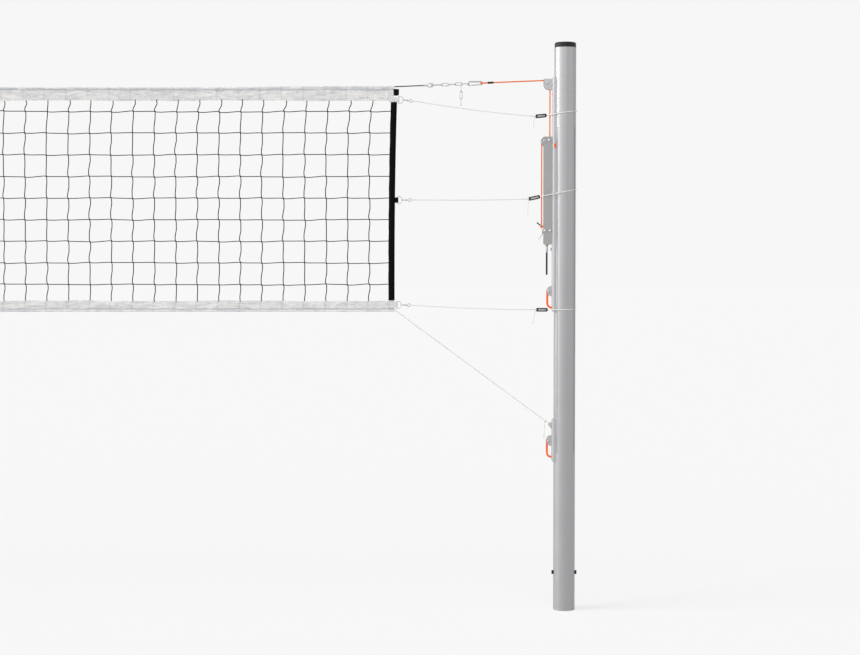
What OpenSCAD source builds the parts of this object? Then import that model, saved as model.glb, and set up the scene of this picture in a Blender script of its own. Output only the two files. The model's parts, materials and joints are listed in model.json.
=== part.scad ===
// Volleyball net on two slotted aluminium posts: height-adjustable carriages,
// a spindle rope tensioner, cam clamps, side cords, chain and snap hook.
// +X runs along the net to the post with the tensioner, +Y is away from the
// viewer, +Z is up. The origin is at foot level, midway between the posts.

/* [Court] */
// Length of the net between its side bands
net_length = 9500; // [9400:10:9600]
// Distance from the net's end to the axis of its post
end_gap = 790; // [760:5:850]
// Height of the net's top edge above the post feet
net_top = 2430; // [2380:5:2450]
// Height of the net from its top edge to its bottom edge
net_drop = 1037; // [1010:1:1045]

/* [Posts] */
// Length of a post tube
post_h = 2610; // [2580:5:2640]
// Outer diameter of a post tube
post_d = 100; // [96:1:106]
// Wall thickness of a post tube
post_wall = 4; // [3.5:0.5:5]
// Width of the slot that the carriages run in
slot_w = 12; // [11:0.5:13]
// Length of tube that goes into the ground sleeve
socket_len = 160; // [150:5:164]
// Height of the stop pins that rest on the ground sleeve
stop_z = 174; // [174:1:200]

/* [Carriages] */
// Width of a carriage across the post
carriage_w = 50; // [48:1:54]
// How far a carriage stands out from the tube
carriage_t = 10; // [9:0.5:12]
// Length of an upper carriage
upper_len = 1086; // [1080:2:1096]
// Length of a lower carriage
lower_len = 200; // [190:2:220]
// Outer radius of the clamp's half-round cheeks
cheek_r = 24; // [22:0.5:26]
// Length of the clamp lever below its pivot
lever_len = 80; // [76:1:84]

/* [Tensioner] */
// Length of the tensioner housing
housing_len = 498; // [490:2:510]
// Depth of the tensioner housing in front of the carriage
housing_x = 40; // [38:1:42]
// Width of the tensioner housing along Y
housing_y = 44; // [42:1:48]
// Diameter of the tensioning spindle
spindle_d = 12; // [11:0.5:12.5]
// Advance of the traveller for one turn of the spindle
spindle_lead = 8; // [8:0.5:8.5]
// Turns of the spindle from tight to slack
spindle_turns = 16; // [14:1:16]
// Length of the crank's grip
grip_len = 102; // [90:2:110]

/* [Net and cords] */
// Height of the white top band
top_band = 70; // [60:1:75]
// Height of the white bottom band
bottom_band = 50; // [45:1:55]
// Width of the black side bands
side_band = 28; // [24:1:32]
// Diameter of the orange tensioning rope
rope_d = 6; // [5.5:0.25:6.25]
// Diameter of the white side cords
cord_d = 4; // [3.5:0.25:4.25]
// Wire thickness of the chain links
link_wire = 4; // [3.5:0.1:4.2]

/* [Hidden] */
$fn = 64;

// tube section, and how far its axis stands from the middle
end_x = net_length / 2;
post_x = end_x + end_gap;
post_r = post_d / 2;
bore_r = post_r - post_wall;
gap = 0.3;              // between pieces that slide on each other
fit = 0.06;             // radial clearance of a shaft in its hole
lip_t = 4.5;            // lips each side of the slot
track_w = slot_w + 12;  // T track behind the lips
track_d = 8;
track_wall = 3;
track_x = -post_r + lip_t;
track_in = track_x + track_d + track_wall;
mark_d = 0.6;           // depth of the turned insertion mark
pin_r = 7;
cap_h = 24;

// carriages, in the frame of their post with the net towards -x
face_x = -(post_r + carriage_t);
upper_z1 = net_top + 43;
upper_z0 = upper_z1 - upper_len;
lower_z1 = net_top - 1539;
lower_z0 = lower_z1 - lower_len;
upper_clamp_z = net_top - 944.5;
lower_clamp_z = net_top - 1640;
pivot_x = face_x - 16;
pivot_r = 4;
cheek_t = 4;
cheek_y = 10;
hub_r = 10;
lever_t = 8.8;
lever_x = -5.2;         // lever's centre line, from the pivot
ear_x = face_x - 8;     // eye of the lower rope ear
ear_z = lower_z1 - 25;

// pulleys and rope
rope_r = rope_d / 2;
pulley_x = face_x - 23.5;
pulley_z = net_top + 17.8;
wrap_r = 12.5;          // rope centre on the top pulley
strand_x = pulley_x + wrap_r;
exit_r = 11;
exit_z = net_top - 250;
exit_x = face_x - 37.5;
left_strand_x = exit_x + exit_r;
out_x = exit_x - exit_r;
trav_r = (strand_x - left_strand_x) / 2;
trav_x = left_strand_x + trav_r;
knot_z = net_top - 637;

// tensioner
house_x0 = face_x - housing_x;
house_z1 = net_top - 230;
house_z0 = house_z1 - housing_len;
head_x0 = face_x - 51;
head_h = 32;
house_wall = 3;
house_bend = 7;         // outer radius of the folded lower corners
half_y = housing_y / 2;
spindle_x = face_x - 24;
spindle_r = spindle_d / 2;
nut_z = house_z0 + 20;
nut_h = 22;
travel = spindle_lead * spindle_turns;
fork_h = 180;
trav_z = nut_z + nut_h + fork_h;
rope_joint_z = house_z1 - 50;
fold_z = house_z0 - 29;

// net and its line to the pulley
mesh_z1 = net_top - top_band;
net_z0 = net_top - net_drop;
mesh_z0 = net_z0 + bottom_band;
mesh_cols = 50;
mesh_rows = 5;
string_w = 4;
string_t = 3;
line_z = net_top + 1;
edge_rise = 4;           // top band's lift at its ends, over the last stretch
edge_run = 900;
line_dx = post_x + pulley_x - end_x;
line_dz = pulley_z - line_z;
line_len = norm([line_dx, line_dz]);
line_a = atan2(line_dz, line_dx) + asin(wrap_r / line_len);
line_s = sqrt(line_len * line_len - wrap_r * wrap_r);
anchor_r = 6.8;         // centre line of the left rope's eye
dark_r = 2.5;           // dark top rope
cord_r = cord_d / 2;
low_r = 2.2;            // light grey bottom rope

// pieces along the line, distance from the net's end
ferrule_s = 134;
ferrule_len = 18;
thimble_s = 166;
thimble_r = 8.3;
chain_s = 214;
link_r = link_wire / 2;
link_len = 40;
link_w = 12 + link_wire;
link_pitch = link_len - 2 * link_wire - 0.6;
carab_r = 3.5;
carab_s = chain_s + 3 * link_pitch + link_len - link_wire - 2 * carab_r - 0.6;
carab_len = 73;
big_r = 8.5;
small_r = 6.8;
loop_r = 7.2;
loop_s = carab_s + carab_len - 2 * carab_r - rope_d - 0.8;
sleeve_s = loop_s + 36;
sleeve_len = 26;

// side cords: height of the ring, of the adjuster's two ends, and of the loop
ring_r = 16.5;
RING_X = [24, 19, 15];   // centre of a D-ring's round part, from the net's end
ring_bar = 5;            // from there to its straight bar, in its strap
ring_wire = 1.5;
hook_wire = 1.9;
hook_ring = 6.2;
eye_s = 32.5;            // centre of a hook's rear eye, and its ring
eye_ring = 7;
eye_wire = 1.7;
hook_in = ring_r - ring_wire - hook_wire - 0.1 + hook_ring;
RINGS = [net_top - 60, net_top - 522, net_top - 1008];
STRAP_X = [0, 5.4, 0];   // start of a strap, from the net's end
STRAP_LOW = [9.9, 12.9, 12.9];   // its lower half
SAG = [6, 3, 4];         // of a side cord at its middle
lean_mid = 5;            // how far the side bands lean out at half height
lean_top = 12;           // and at their top
ADJ_X = [-136, -166.5, -132];
ADJ_LEN = [50, 52, 52];
ADJ_Z = [net_top - 136, net_top - 517, net_top - 1030];
ADJ_END = [net_top - 131, net_top - 506, net_top - 1030];
ADJ_Y = [0, 0, -20];
RISE = [0.14, 0.2, 0.03];
AT_CARRIAGE = [face_x - 2.6, carriage_w / 2 + 2.6];
AT_HOUSING = [house_x0 - 2.8, half_y + 2.8];
TAIL = [[-14, -57], [-6.5, -72], [-17, -66]];   // from the adjuster's outer end
TAIL_OUT = [8, 6, 8];

// ---- helpers ----

module at_right() { translate([post_x, 0, 0]) children(); }
module at_left() { mirror([1, 0, 0]) translate([post_x, 0, 0]) children(); }
module both_posts() { at_right() children(); at_left() children(); }
module both_ends() { children(); mirror([1, 0, 0]) children(); }

// cylinder along Y between y0 and y1
module y_rod(x, z, r, y0, y1) {
    translate([x, y0, z]) rotate([-90, 0, 0]) cylinder(h = y1 - y0, r = r);
}

// cylinder along X between x0 and x1
module x_rod(y, z, r, x0, x1) {
    translate([x0, y, z]) rotate([0, 90, 0]) cylinder(h = x1 - x0, r = r);
}

// round bar between two points
module rod(p, q, r) {
    v = q - p;
    translate(p) rotate([0, acos(v[2] / norm(v)), atan2(v[1], v[0])])
        cylinder(h = norm(v), r = r);
}

// box between two corners
module block(p, q) { translate(p) cube(q - p); }

// outline in X and Z, thick between y0 and y1
module xz_plate(y0, y1) {
    translate([0, y1, 0]) rotate([90, 0, 0]) linear_extrude(height = y1 - y0) children();
}

// part of a ring of round bar in the X-Y plane, between two angles
module arc_bar(ring, r, a0, a1) {
    rotate([0, 0, a0]) rotate_extrude(angle = a1 - a0) translate([ring, 0]) circle(r = r);
}

// the same in the X-Z plane around a point
module xz_arc(x, z, ring, r, a0, a1) {
    translate([x, 0, z]) rotate([90, 0, 0]) arc_bar(ring, r, a0, a1);
}

function unit(v) = v / norm(v);

// point on a circle in the X-Y plane
function on_circle(r, a) = [r * cos(a), r * sin(a), 0];

// rounded corner of a route at c, between the points before and after it
function corner(before, c, after, d = 4) = [for (t = [0:0.25:1])
    (1 - t) * (1 - t) * (c + d * unit(before - c)) + 2 * t * (1 - t) * c
        + t * t * (c + d * unit(after - c))];

// sideways direction at each point, carried along without twist
function carried(t, v, i = 0) = i == len(t) ? [] :
    let (w = unit(v - (v * t[i]) * t[i])) concat([w], carried(t, w, i + 1));

// round cord swept along a route
module tube(path, r, sides = 8) {
    n = len(path);
    still = [0, 0, 0];
    t = [for (i = [0:n - 1]) unit((i < n - 1 ? unit(path[i + 1] - path[i]) : still)
                                  + (i > 0 ? unit(path[i] - path[i - 1]) : still))];
    u = carried(t, cross(t[0], abs(t[0][2]) < 0.7 ? [0, 0, 1] : [0, 1, 0]));
    rings = [for (i = [0:n - 1], k = [0:sides - 1]) let (a = 360 * (k + 0.5) / sides)
        path[i] + r * (cos(a) * u[i] + sin(a) * cross(t[i], u[i]))];
    walls = [for (i = [0:n - 2], k = [0:sides - 1])
        let (a = i * sides + k, b = i * sides + (k + 1) % sides)
            each [[a, a + sides, b + sides], [a, b + sides, b]]];
    polyhedron(rings, concat([[for (k = [0:sides - 1]) k]], walls,
                             [[for (k = [sides - 1:-1:0]) (n - 1) * sides + k]]));
}

// along the line from the net's end to the top pulley, s is local X
module on_line(s = 0) {
    translate([end_x, 0, line_z]) rotate([0, -line_a, 0]) translate([s, 0, 0]) children();
}

// ---- posts ----

module post_section() {
    difference() {
        union() {
            difference() {
                circle(r = post_r, $fn = 180);
                circle(r = bore_r, $fn = 180);
            }
            intersection() {
                circle(r = post_r - 1, $fn = 180);
                translate([-post_r, -track_w / 2 - 4])
                    square([post_r + track_in, track_w + 8]);
            }
        }
        translate([-post_r - 1, -slot_w / 2]) square([lip_t + 2, slot_w]);
        translate([track_x, -track_w / 2]) square([track_d, track_w]);
    }
}

module post() {
    difference() {
        linear_extrude(height = post_h) post_section();
        x_rod(0, stop_z, pin_r + 0.05, -post_r - 1, post_r + 1);
        translate([0, 0, socket_len]) difference() {
            cylinder(h = 2, r = post_r + 1);
            translate([0, 0, -1]) cylinder(h = 4, r = post_r - mark_d);
        }
    }
}

module right_post() { color("silver") at_right() post(); }
module left_post() { color("silver") at_left() post(); }

// shape that fits inside the tube beside the track
module plug(r, h) {
    difference() {
        cylinder(h = h, r = r);
        block([-post_r, -track_w / 2 - 4.4, -1], [track_in + 0.4, track_w / 2 + 4.4, h + 1]);
    }
}

module post_caps() {
    color([0.09, 0.09, 0.1]) both_posts() translate([0, 0, post_h]) {
        difference() {
            rotate_extrude() union() {
                square([post_r - 7, cap_h]);
                square([post_r - 0.4, cap_h - 7]);
                translate([post_r - 7.4, cap_h - 7]) circle(r = 7);
            }
            translate([0, 0, cap_h - 3]) cylinder(h = 4, r = 11);
        }
        translate([0, 0, -28]) plug(bore_r - 0.2, 28);
    }
}

module foot_plugs() {
    color([0.09, 0.09, 0.1]) both_posts() difference() {
        plug(bore_r - 0.2, 40);
        translate([12, 0, 10]) cylinder(h = 31, r = 24);
    }
}

module stop_pins() {
    color([0.09, 0.09, 0.1]) both_posts() {
        x_rod(0, stop_z, pin_r, -post_r - 0.2, post_r + 0.2);
        x_rod(0, stop_z, 9.3, post_r + 0.1, post_r + 8);
        x_rod(0, stop_z, 9.3, -post_r - 8, -post_r - 0.1);
    }
}

// ---- carriages ----

// bar with a saddle on the tube, a neck in the slot, a head in the track and
// rounded outer ends
module carriage_bar(z0, z1, top_r, end_r) {
    half = carriage_w / 2;
    head_y = track_w / 2 - gap;
    difference() {
        union() {
            translate([0, 0, z0]) linear_extrude(height = z1 - z0) difference() {
                polygon([[face_x, half - 4], [face_x + 7, half], [12 - post_r, half],
                         [12 - post_r, -half], [face_x + 7, -half], [face_x, 4 - half]]);
                circle(r = post_r + gap, $fn = 180);
            }
            block([-post_r - 3, gap - slot_w / 2, z0], [track_x + gap + 1, slot_w / 2 - gap, z1]);
            block([track_x + gap, -head_y, z0], [track_x + track_d - gap, head_y, z1]);
        }
        xz_plate(-carriage_w, carriage_w) difference() {
            translate([face_x - 1, z0 - 1]) square([end_r + 1, end_r + 1]);
            translate([face_x + end_r, z0 + end_r]) circle(r = end_r);
        }
        xz_plate(-carriage_w, carriage_w) difference() {
            translate([face_x - 1, z1 - top_r]) square([top_r + 1, top_r + 1]);
            translate([face_x + top_r, z1 - top_r]) circle(r = top_r);
        }
    }
}

UPPER_BOLTS_R = [house_z0 - 22];
UPPER_BOLTS_L = [upper_z0 + 293, upper_z0 + 560, upper_z0 + 800, upper_z0 + 960];

module upper_carriage(bolts) {
    difference() {
        carriage_bar(upper_z0, upper_z1, 3, 13);
        for (z = bolts) x_rod(0, z, 3.05, face_x - 1, face_x + 8);
    }
}

module right_upper_carriage() {
    color([0.66, 0.66, 0.67]) at_right() upper_carriage(UPPER_BOLTS_R);
}
module left_upper_carriage() {
    color([0.66, 0.66, 0.67]) at_left() upper_carriage(UPPER_BOLTS_L);
}

module button_bolt(z) {
    x_rod(0, z, 3, face_x - 1, face_x + 7.5);
    x_rod(0, z, 7.5, face_x - 1.6, face_x);
    intersection() {
        translate([face_x - 0.6, 0, z]) sphere(r = 7.4);
        block([face_x - 10, -6, z - 6], [face_x - 1.6, 6, z + 6]);
    }
}

module carriage_bolts() {
    color([0.8, 0.8, 0.82]) {
        at_right() for (z = UPPER_BOLTS_R) button_bolt(z);
        at_left() for (z = UPPER_BOLTS_L) button_bolt(z);
    }
}

module height_pointers() {
    color([0.95, 0.35, 0.05]) both_posts() difference() {
        xz_plate(-carriage_w / 2 - 2.5, -carriage_w / 2) {
            for (dz = [-6.2, 6.2]) translate([face_x + 11.3, net_top - 271 + dz])
                circle(r = 4.3);
            translate([face_x + 7, net_top - 277.2]) square([8.6, 12.4]);
        }
        y_rod(face_x + 11.3, net_top - 271, 2.2, -carriage_w / 2 - 3, -carriage_w / 2 - 1);
    }
}

// ---- top pulley and the anchor on the other post ----

bracket_z1 = net_top + 36.5;
bracket_z0 = net_top - 13.6;
bracket_n = 10;         // flats along the bracket's curved lower edge

// cheeks of a bracket with a hole for its bolt
module bracket(hole_r) {
    for (y0 = [-14, 10]) difference() {
        xz_plate(y0, y0 + 4) polygon(concat(
            [[face_x - 4, bracket_z1], [face_x - 40, bracket_z1], [face_x - 40, net_top + 13]],
            [for (i = [1:bracket_n]) let (a = 90 * i / bracket_n)
                [face_x - 16 - 24 * cos(a), net_top + 13 - 26.6 * sin(a)]],
            [[face_x - 4, bracket_z0]]));
        y_rod(pulley_x, pulley_z, hole_r, -15, 15);
    }
    block([face_x - 4, -14, bracket_z0], [face_x, 14, bracket_z1]);
}

module pulley_bracket() { color([0.6, 0.6, 0.61]) at_right() bracket(pivot_r + 0.05); }
module anchor_bracket() { color([0.6, 0.6, 0.61]) at_left() bracket(pivot_r + 0.05); }

// bolt along Y with a domed head in front and a nut behind
module cross_bolt(x, z, r, y, head_r) {
    y_rod(x, z, r, -y, y + 4);
    y_rod(x, z, head_r, -y - 3, -y);
    intersection() {
        translate([x, -y + head_r - 5, z]) sphere(r = head_r);
        block([x - head_r, -y - 6, z - head_r], [x + head_r, -y - 3, z + head_r]);
    }
    difference() {
        translate([x, y, z]) rotate([-90, 0, 0]) cylinder(h = 4, r = head_r + 0.8, $fn = 6);
        y_rod(x, z, r - 0.2, y - 1, y + 3.5);
    }
}

module bracket_bolts() {
    color([0.8, 0.8, 0.82]) {
        both_posts() cross_bolt(pulley_x, pulley_z, pivot_r, 14, 5.5);
        at_right() cross_bolt(exit_x, exit_z, pivot_r, half_y, 6);
    }
}

// grooved wheel with its axis along Y
module pulley(x, z, rope_at, flange, bore, w, hub_w) {
    translate([x, 0, z]) rotate([90, 0, 0]) rotate_extrude() difference() {
        union() {
            translate([bore + fit, -w / 2]) square([flange - bore - fit, w]);
            translate([bore + fit, -hub_w / 2]) square([1.6, hub_w]);
        }
        translate([rope_at + 0.1, 0]) circle(r = rope_r + 0.4);
        translate([rope_at + 0.1, -rope_r - 0.4]) square([20, rope_d + 0.8]);
    }
}

module top_pulley() {
    color([0.12, 0.12, 0.13]) at_right() pulley(pulley_x, pulley_z, wrap_r, 15.5, pivot_r, 12, 19);
}
module exit_pulley() {
    color([0.12, 0.12, 0.13]) at_right() pulley(exit_x, exit_z, exit_r, 12.8, pivot_r, 11, 37);
}

// ---- tensioner ----

head_z = house_z1 - head_h;

module housing_outline(inset) {
    difference() {
        union() {
            translate([house_x0 + inset, house_z0 + inset])
                square([housing_x - 2 * inset, housing_len - 2 * inset]);
            polygon([[face_x - inset, house_z1 - inset],
                     [head_x0 + 11 + inset, house_z1 - inset],
                     [head_x0 + inset, house_z1 - 12 - inset],
                     [head_x0 + inset, head_z + inset],
                     [house_x0 + inset, head_z - 10],
                     [face_x - inset, head_z - 10]]);
        }
        for (x = [house_x0 - 1, face_x - house_bend]) difference() {
            translate([x, house_z0 - 1]) square(house_bend + 1);
            translate([x + (x < house_x0 ? house_bend + 1 : 0), house_z0 + house_bend])
                circle(r = house_bend - inset);
        }
    }
}

module tensioner_housing() {
    color([0.6, 0.6, 0.6]) at_right() difference() {
        xz_plate(-half_y, half_y) housing_outline(0);
        xz_plate(-half_y + house_wall, half_y - house_wall) housing_outline(house_wall);
        // ways for the rope, in at the top and out at the net side
        translate([strand_x, 0, house_z1 - 10]) cylinder(h = 20, r = rope_r + 2.5);
        block([head_x0 - 2, -7, head_z - 16], [exit_x + 3, 7, house_z1 - 6]);
        translate([spindle_x, 0, house_z0 - 1]) cylinder(h = 8, r = 8.05);
        y_rod(exit_x, exit_z, pivot_r + 0.05, -half_y - 1, half_y + 1);
        for (b = HOUSE_BOLTS) y_rod(b[0], b[1], 2.55, -half_y - 1, -half_y + 5);
        x_rod(0, hook_z, 2.55, house_x0 - 1, house_x0 + 5);
    }
}

hook_z = net_top - 669;
HOUSE_BOLTS = [[face_x - 14, house_z1 - 17], [face_x - 33, house_z1 - 434],
               [face_x - 9, house_z1 - 434]];

module housing_bolts() {
    color([0.8, 0.8, 0.82]) at_right() for (b = HOUSE_BOLTS) {
        y_rod(b[0], b[1], 2.5, -half_y - 1, -half_y + 4.5);
        y_rod(b[0], b[1], 6.5, -half_y - 2, -half_y);
        intersection() {
            translate([b[0], -half_y + 3.2, b[1]]) sphere(r = 8);
            block([b[0] - 7, -half_y - 6, b[1] - 7], [b[0] + 7, -half_y - 2, b[1] + 7]);
        }
    }
}

// boss and bent rod that the rope's tail is tied off to
module rope_hook() {
    color([0.75, 0.75, 0.77]) at_right() {
        x_rod(0, hook_z, 2.5, house_x0 - 2, house_x0 + 4.5);
        x_rod(0, hook_z, 5.5, house_x0 - 7, house_x0);
        rod([house_x0 - 4, 0, hook_z], [house_x0 - 5, 0, hook_z - 11], 2.2);
        translate([house_x0 - 5, 0, hook_z - 11]) sphere(r = 2.4);
        rod([house_x0 - 5, 0, hook_z - 11], [house_x0 - 24, 0, hook_z - 34], 2.2);
        translate([house_x0 - 24, 0, hook_z - 34]) sphere(r = 2.4);
    }
}

module spindle_bush() {
    color([0.72, 0.6, 0.3]) at_right() translate([spindle_x, 0, house_z0]) difference() {
        union() {
            translate([0, 0, -2]) cylinder(h = 7, r = 8);
            translate([0, 0, house_wall]) cylinder(h = 3, r = 8.9);
        }
        translate([0, 0, -3]) cylinder(h = 12, r = spindle_r + fit);
    }
}

// screw with a thrust collar above the bush and rings for its thread
module spindle() {
    top = nut_z + travel + nut_h + 8;
    color([0.7, 0.7, 0.72]) at_right() translate([spindle_x, 0, 0]) {
        translate([0, 0, house_z0 - 2.2]) cylinder(h = top - house_z0 + 2.2, r = spindle_r);
        translate([0, 0, house_z0 - 13.5]) cylinder(h = 12, r = spindle_r - 2.05);
        translate([0, 0, house_z0 + 6.3]) cylinder(h = 6, r = 9);
    }
}

// flared sleeve, tube and clevis below the housing, with the fold pin
module crank_coupling() {
    color([0.68, 0.68, 0.7]) at_right() translate([spindle_x, 0, 0]) {
        difference() {
            union() {
                translate([0, 0, house_z0 - 9]) cylinder(h = 6.7, r1 = 5, r2 = 9.5);
                translate([0, 0, fold_z + 5]) cylinder(h = house_z0 - 9 - fold_z - 5, r = 5);
                translate([0, 0, fold_z - 6]) cylinder(h = 12, r = 6.3);
            }
            translate([0, 0, house_z0 - 14]) cylinder(h = 20, r = spindle_r - 2);
            block([-8, -2.6, fold_z - 7], [8, 2.6, fold_z + 4.4]);
            y_rod(0, fold_z, 1.55, -7, 7);
        }
        y_rod(0, fold_z, 1.5, -6, 6);
    }
}

module crank_grip() {
    color([0.14, 0.12, 0.13]) at_right() translate([spindle_x, 0, fold_z]) {
        difference() {
            union() {
                y_rod(0, 0, 4, -2.3, 2.3);
                block([-3, -2.3, -12], [3, 2.3, 0]);
            }
            y_rod(0, 0, 1.5 + fit, -3, 3);
        }
        translate([0, 0, -10 - grip_len]) {
            translate([0, 0, 4.2]) cylinder(h = grip_len - 5.2, r = 4.2);
            translate([0, 0, 4.2]) sphere(r = 4.2);
            translate([0, 0, grip_len - 1]) cylinder(h = 1, r1 = 4.2, r2 = 3.4);
        }
    }
}

// nut on the screw with a fork that holds the loop pulley
module traveller() {
    color([0.72, 0.6, 0.3]) at_right() difference() {
        union() {
            block([spindle_x - 11, -14, nut_z], [spindle_x + 13, 14, nut_z + nut_h]);
            for (y = [-12, 9]) block([trav_x - 8, y, nut_z + nut_h],
                                     [trav_x + 8, y + 3, trav_z + 9]);
        }
        translate([spindle_x, 0, nut_z - 1]) cylinder(h = nut_h + 2, r = spindle_r + fit);
        y_rod(trav_x, trav_z, 2.55, -13, 13);
    }
}

module traveller_bolt() {
    color([0.8, 0.8, 0.82]) at_right() {
        y_rod(trav_x, trav_z, 2.5, -12, 12);
        y_rod(trav_x, trav_z, 4.5, -14.5, -12);
        y_rod(trav_x, trav_z, 4.5, 12, 14.5);
    }
}

module traveller_pulley() {
    color([0.12, 0.12, 0.13]) at_right() pulley(trav_x, trav_z, trav_r, 10, 2.5, 11, 17);
}

// ---- clamps ----

module cheeks(cz) {
    for (y0 = [-cheek_y - cheek_t, cheek_y]) difference() {
        xz_plate(y0, y0 + cheek_t) intersection() {
            translate([face_x, cz]) circle(r = cheek_r);
            translate([face_x - cheek_r, cz - cheek_r]) square([cheek_r, 2 * cheek_r]);
        }
        y_rod(pivot_x, cz, pivot_r + 0.05, -20, 20);
    }
    block([face_x - 2.5, -cheek_y, cz - cheek_r + 2], [face_x, cheek_y, cz + cheek_r - 2]);
}

module clamp_bolt(cz) { cross_bolt(pivot_x, cz, pivot_r, cheek_y + cheek_t, 7.2); }

module upper_clamp_cheeks() {
    color([0.7, 0.71, 0.72]) both_posts() cheeks(upper_clamp_z);
}
module upper_clamp_bolts() {
    color([0.8, 0.8, 0.82]) both_posts() clamp_bolt(upper_clamp_z);
}

// hub on the pivot, straight arm, and a J that curls back to the carriage
module lever(cz) {
    reach = face_x - pivot_x - 1;           // J's end, just short of the face
    bend = reach - lever_x;
    low = lever_len - lever_t / 2;
    translate([pivot_x, 0, cz]) difference() {
        xz_plate(-cheek_y + 0.7, cheek_y - 0.7) {
            circle(r = hub_r);
            translate([lever_x - lever_t / 2, -low + bend]) square([lever_t, low - bend + 3]);
            translate([reach, -low + bend]) difference() {
                circle(r = bend + lever_t / 2);
                circle(r = bend - lever_t / 2);
                translate([0, -50]) square([50, 100]);
                translate([-50, 0]) square([100, 50]);
            }
        }
        y_rod(0, 0, pivot_r + fit, -20, 20);
    }
}

module right_upper_lever() { color([0.95, 0.36, 0]) at_right() lever(upper_clamp_z); }
module left_upper_lever() { color([0.95, 0.36, 0]) at_left() lever(upper_clamp_z); }
module right_lower_lever() { color([0.95, 0.36, 0]) at_right() lever(lower_clamp_z); }
module left_lower_lever() { color([0.95, 0.36, 0]) at_left() lever(lower_clamp_z); }

module lower_carriage() {
    carriage_bar(lower_z0, lower_z1, 10, 10);
    cheeks(lower_clamp_z);
    // ear for the bottom rope
    difference() {
        xz_plate(-2.5, 2.5) union() {
            translate([ear_x, ear_z]) circle(r = 8);
            translate([ear_x, ear_z - 14]) square([8, 22]);
            translate([ear_x + 3, ear_z - 20]) square([5, 12]);
        }
        y_rod(ear_x, ear_z, 3.4, -3, 3);
    }
}

module right_lower_carriage() { color([0.62, 0.62, 0.63]) at_right() lower_carriage(); }
module left_lower_carriage() { color([0.62, 0.62, 0.63]) at_left() lower_carriage(); }
module right_lower_clamp() { color([0.8, 0.8, 0.82]) at_right() clamp_bolt(lower_clamp_z); }
module left_lower_clamp() { color([0.8, 0.8, 0.82]) at_left() clamp_bolt(lower_clamp_z); }

// ---- net ----

mesh_x1 = end_x - side_band;
rod_x = end_x - side_band / 2;

module net_mesh() {
    pitch_x = 2 * mesh_x1 / mesh_cols;
    pitch_z = (mesh_z1 - mesh_z0) / mesh_rows;
    cell = [pitch_x - string_w, pitch_z - string_w];
    corners = [[0, 0], [1, 0], [1, 1], [0, 1]];
    holes = [for (c = [0:mesh_cols - 1], r = [0:mesh_rows - 1], k = corners)
        [-mesh_x1 + string_w / 2 + c * pitch_x + k[0] * cell[0],
         mesh_z0 + string_w / 2 + r * pitch_z + k[1] * cell[1]]];
    outer = [[-mesh_x1, mesh_z0], [mesh_x1, mesh_z0], [mesh_x1, mesh_z1], [-mesh_x1, mesh_z1]];
    color([0.2, 0.18, 0.17]) xz_plate(-string_t / 2, string_t / 2)
        polygon(concat(outer, holes), concat([[0, 1, 2, 3]],
            [for (i = [0:mesh_cols * mesh_rows - 1]) [for (k = [0:3]) 4 + 4 * i + k]]));
}

module top_tape() {
    run = end_x - edge_run;
    color("white") difference() {
        xz_plate(-4, 4) polygon([[-end_x, mesh_z1], [end_x, mesh_z1],
            [end_x, net_top + edge_rise], [run, net_top], [-run, net_top],
            [-end_x, net_top + edge_rise]]);
        for (m = [0, 1]) mirror([m, 0, 0])
            on_line(-3) rotate([0, line_a, 0]) x_rod(0, 0, dark_r + 0.1, -30, 10);
    }
}

module bottom_tape() {
    color("white") difference() {
        block([-end_x, -4, net_z0], [end_x, 4, mesh_z0]);
        both_ends() x_rod(0, hem_z, low_r + 0.1, end_x - 30, end_x + 1);
    }
}

// band sewn round the end rod, and the short tab above the top ring
module side_bands() {
    color([0.07, 0.07, 0.07]) both_ends() {
        difference() {
            xz_plate(-7, 7) polygon([[mesh_x1, mesh_z0], [end_x, mesh_z0],
                [end_x + lean_mid, RINGS[1]], [end_x + lean_top, mesh_z1], [mesh_x1, mesh_z1]]);
            rod([rod_x, 0, mesh_z0 - 2], [rod_x + lean_top, 0, mesh_z1 + 2], 5.1);
        }
        translate([end_x, 0, RINGS[0]]) xz_plate(-5, 5) polygon([[0, 16], [11, 16], [13, 23],
            [19, 23], [19, 51], [0, 51]]);
    }
}

module side_rods() {
    v = [lean_top, 0, mesh_z1 - mesh_z0];
    foot = [rod_x, 0, mesh_z0];
    color([0.85, 0.82, 0.7]) both_ends() rod(foot + 0.005 * v, foot + 0.995 * v, 5);
}

// white straps at top and bottom, black in the middle, one for each ring
module ring_straps() {
    color([0.85, 0.85, 0.85]) both_ends() for (i = [0:2]) translate([end_x, 0, RINGS[i]])
        difference() {
            block([STRAP_X[i], -3.6, -STRAP_LOW[i]], [RING_X[i], 3.6, 12.9]);
            translate([RING_X[i] - ring_bar, 0, -14]) cylinder(h = 28, r = ring_wire + 0.2);
        }
}

module d_rings() {
    color([0.7, 0.7, 0.72]) both_ends() for (i = [0:2])
        translate([end_x + RING_X[i], 0, RINGS[i]]) {
            translate([-ring_bar, 0, -ring_r]) cylinder(h = 2 * ring_r, r = ring_wire);
            for (z = [-ring_r, ring_r]) {
                translate([-ring_bar, 0, z]) sphere(r = ring_wire + 0.2);
                x_rod(0, z, ring_wire, -ring_bar, 0);
            }
            xz_arc(0, 0, ring_r, ring_wire, -90, 90);
        }
}

// from a D-ring along its cord to the adjuster, s is local X
function cord_from(i) = [end_x + RING_X[i] + hook_in, 0, RINGS[i]];
function cord_to(i) = [post_x + ADJ_X[i], ADJ_Y[i], ADJ_Z[i]];
module on_cord(i) {
    v = cord_to(i) - cord_from(i);
    translate(cord_from(i)) rotate([0, -asin(v[2] / norm(v)), atan2(v[1], v[0])]) children();
}

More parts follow.
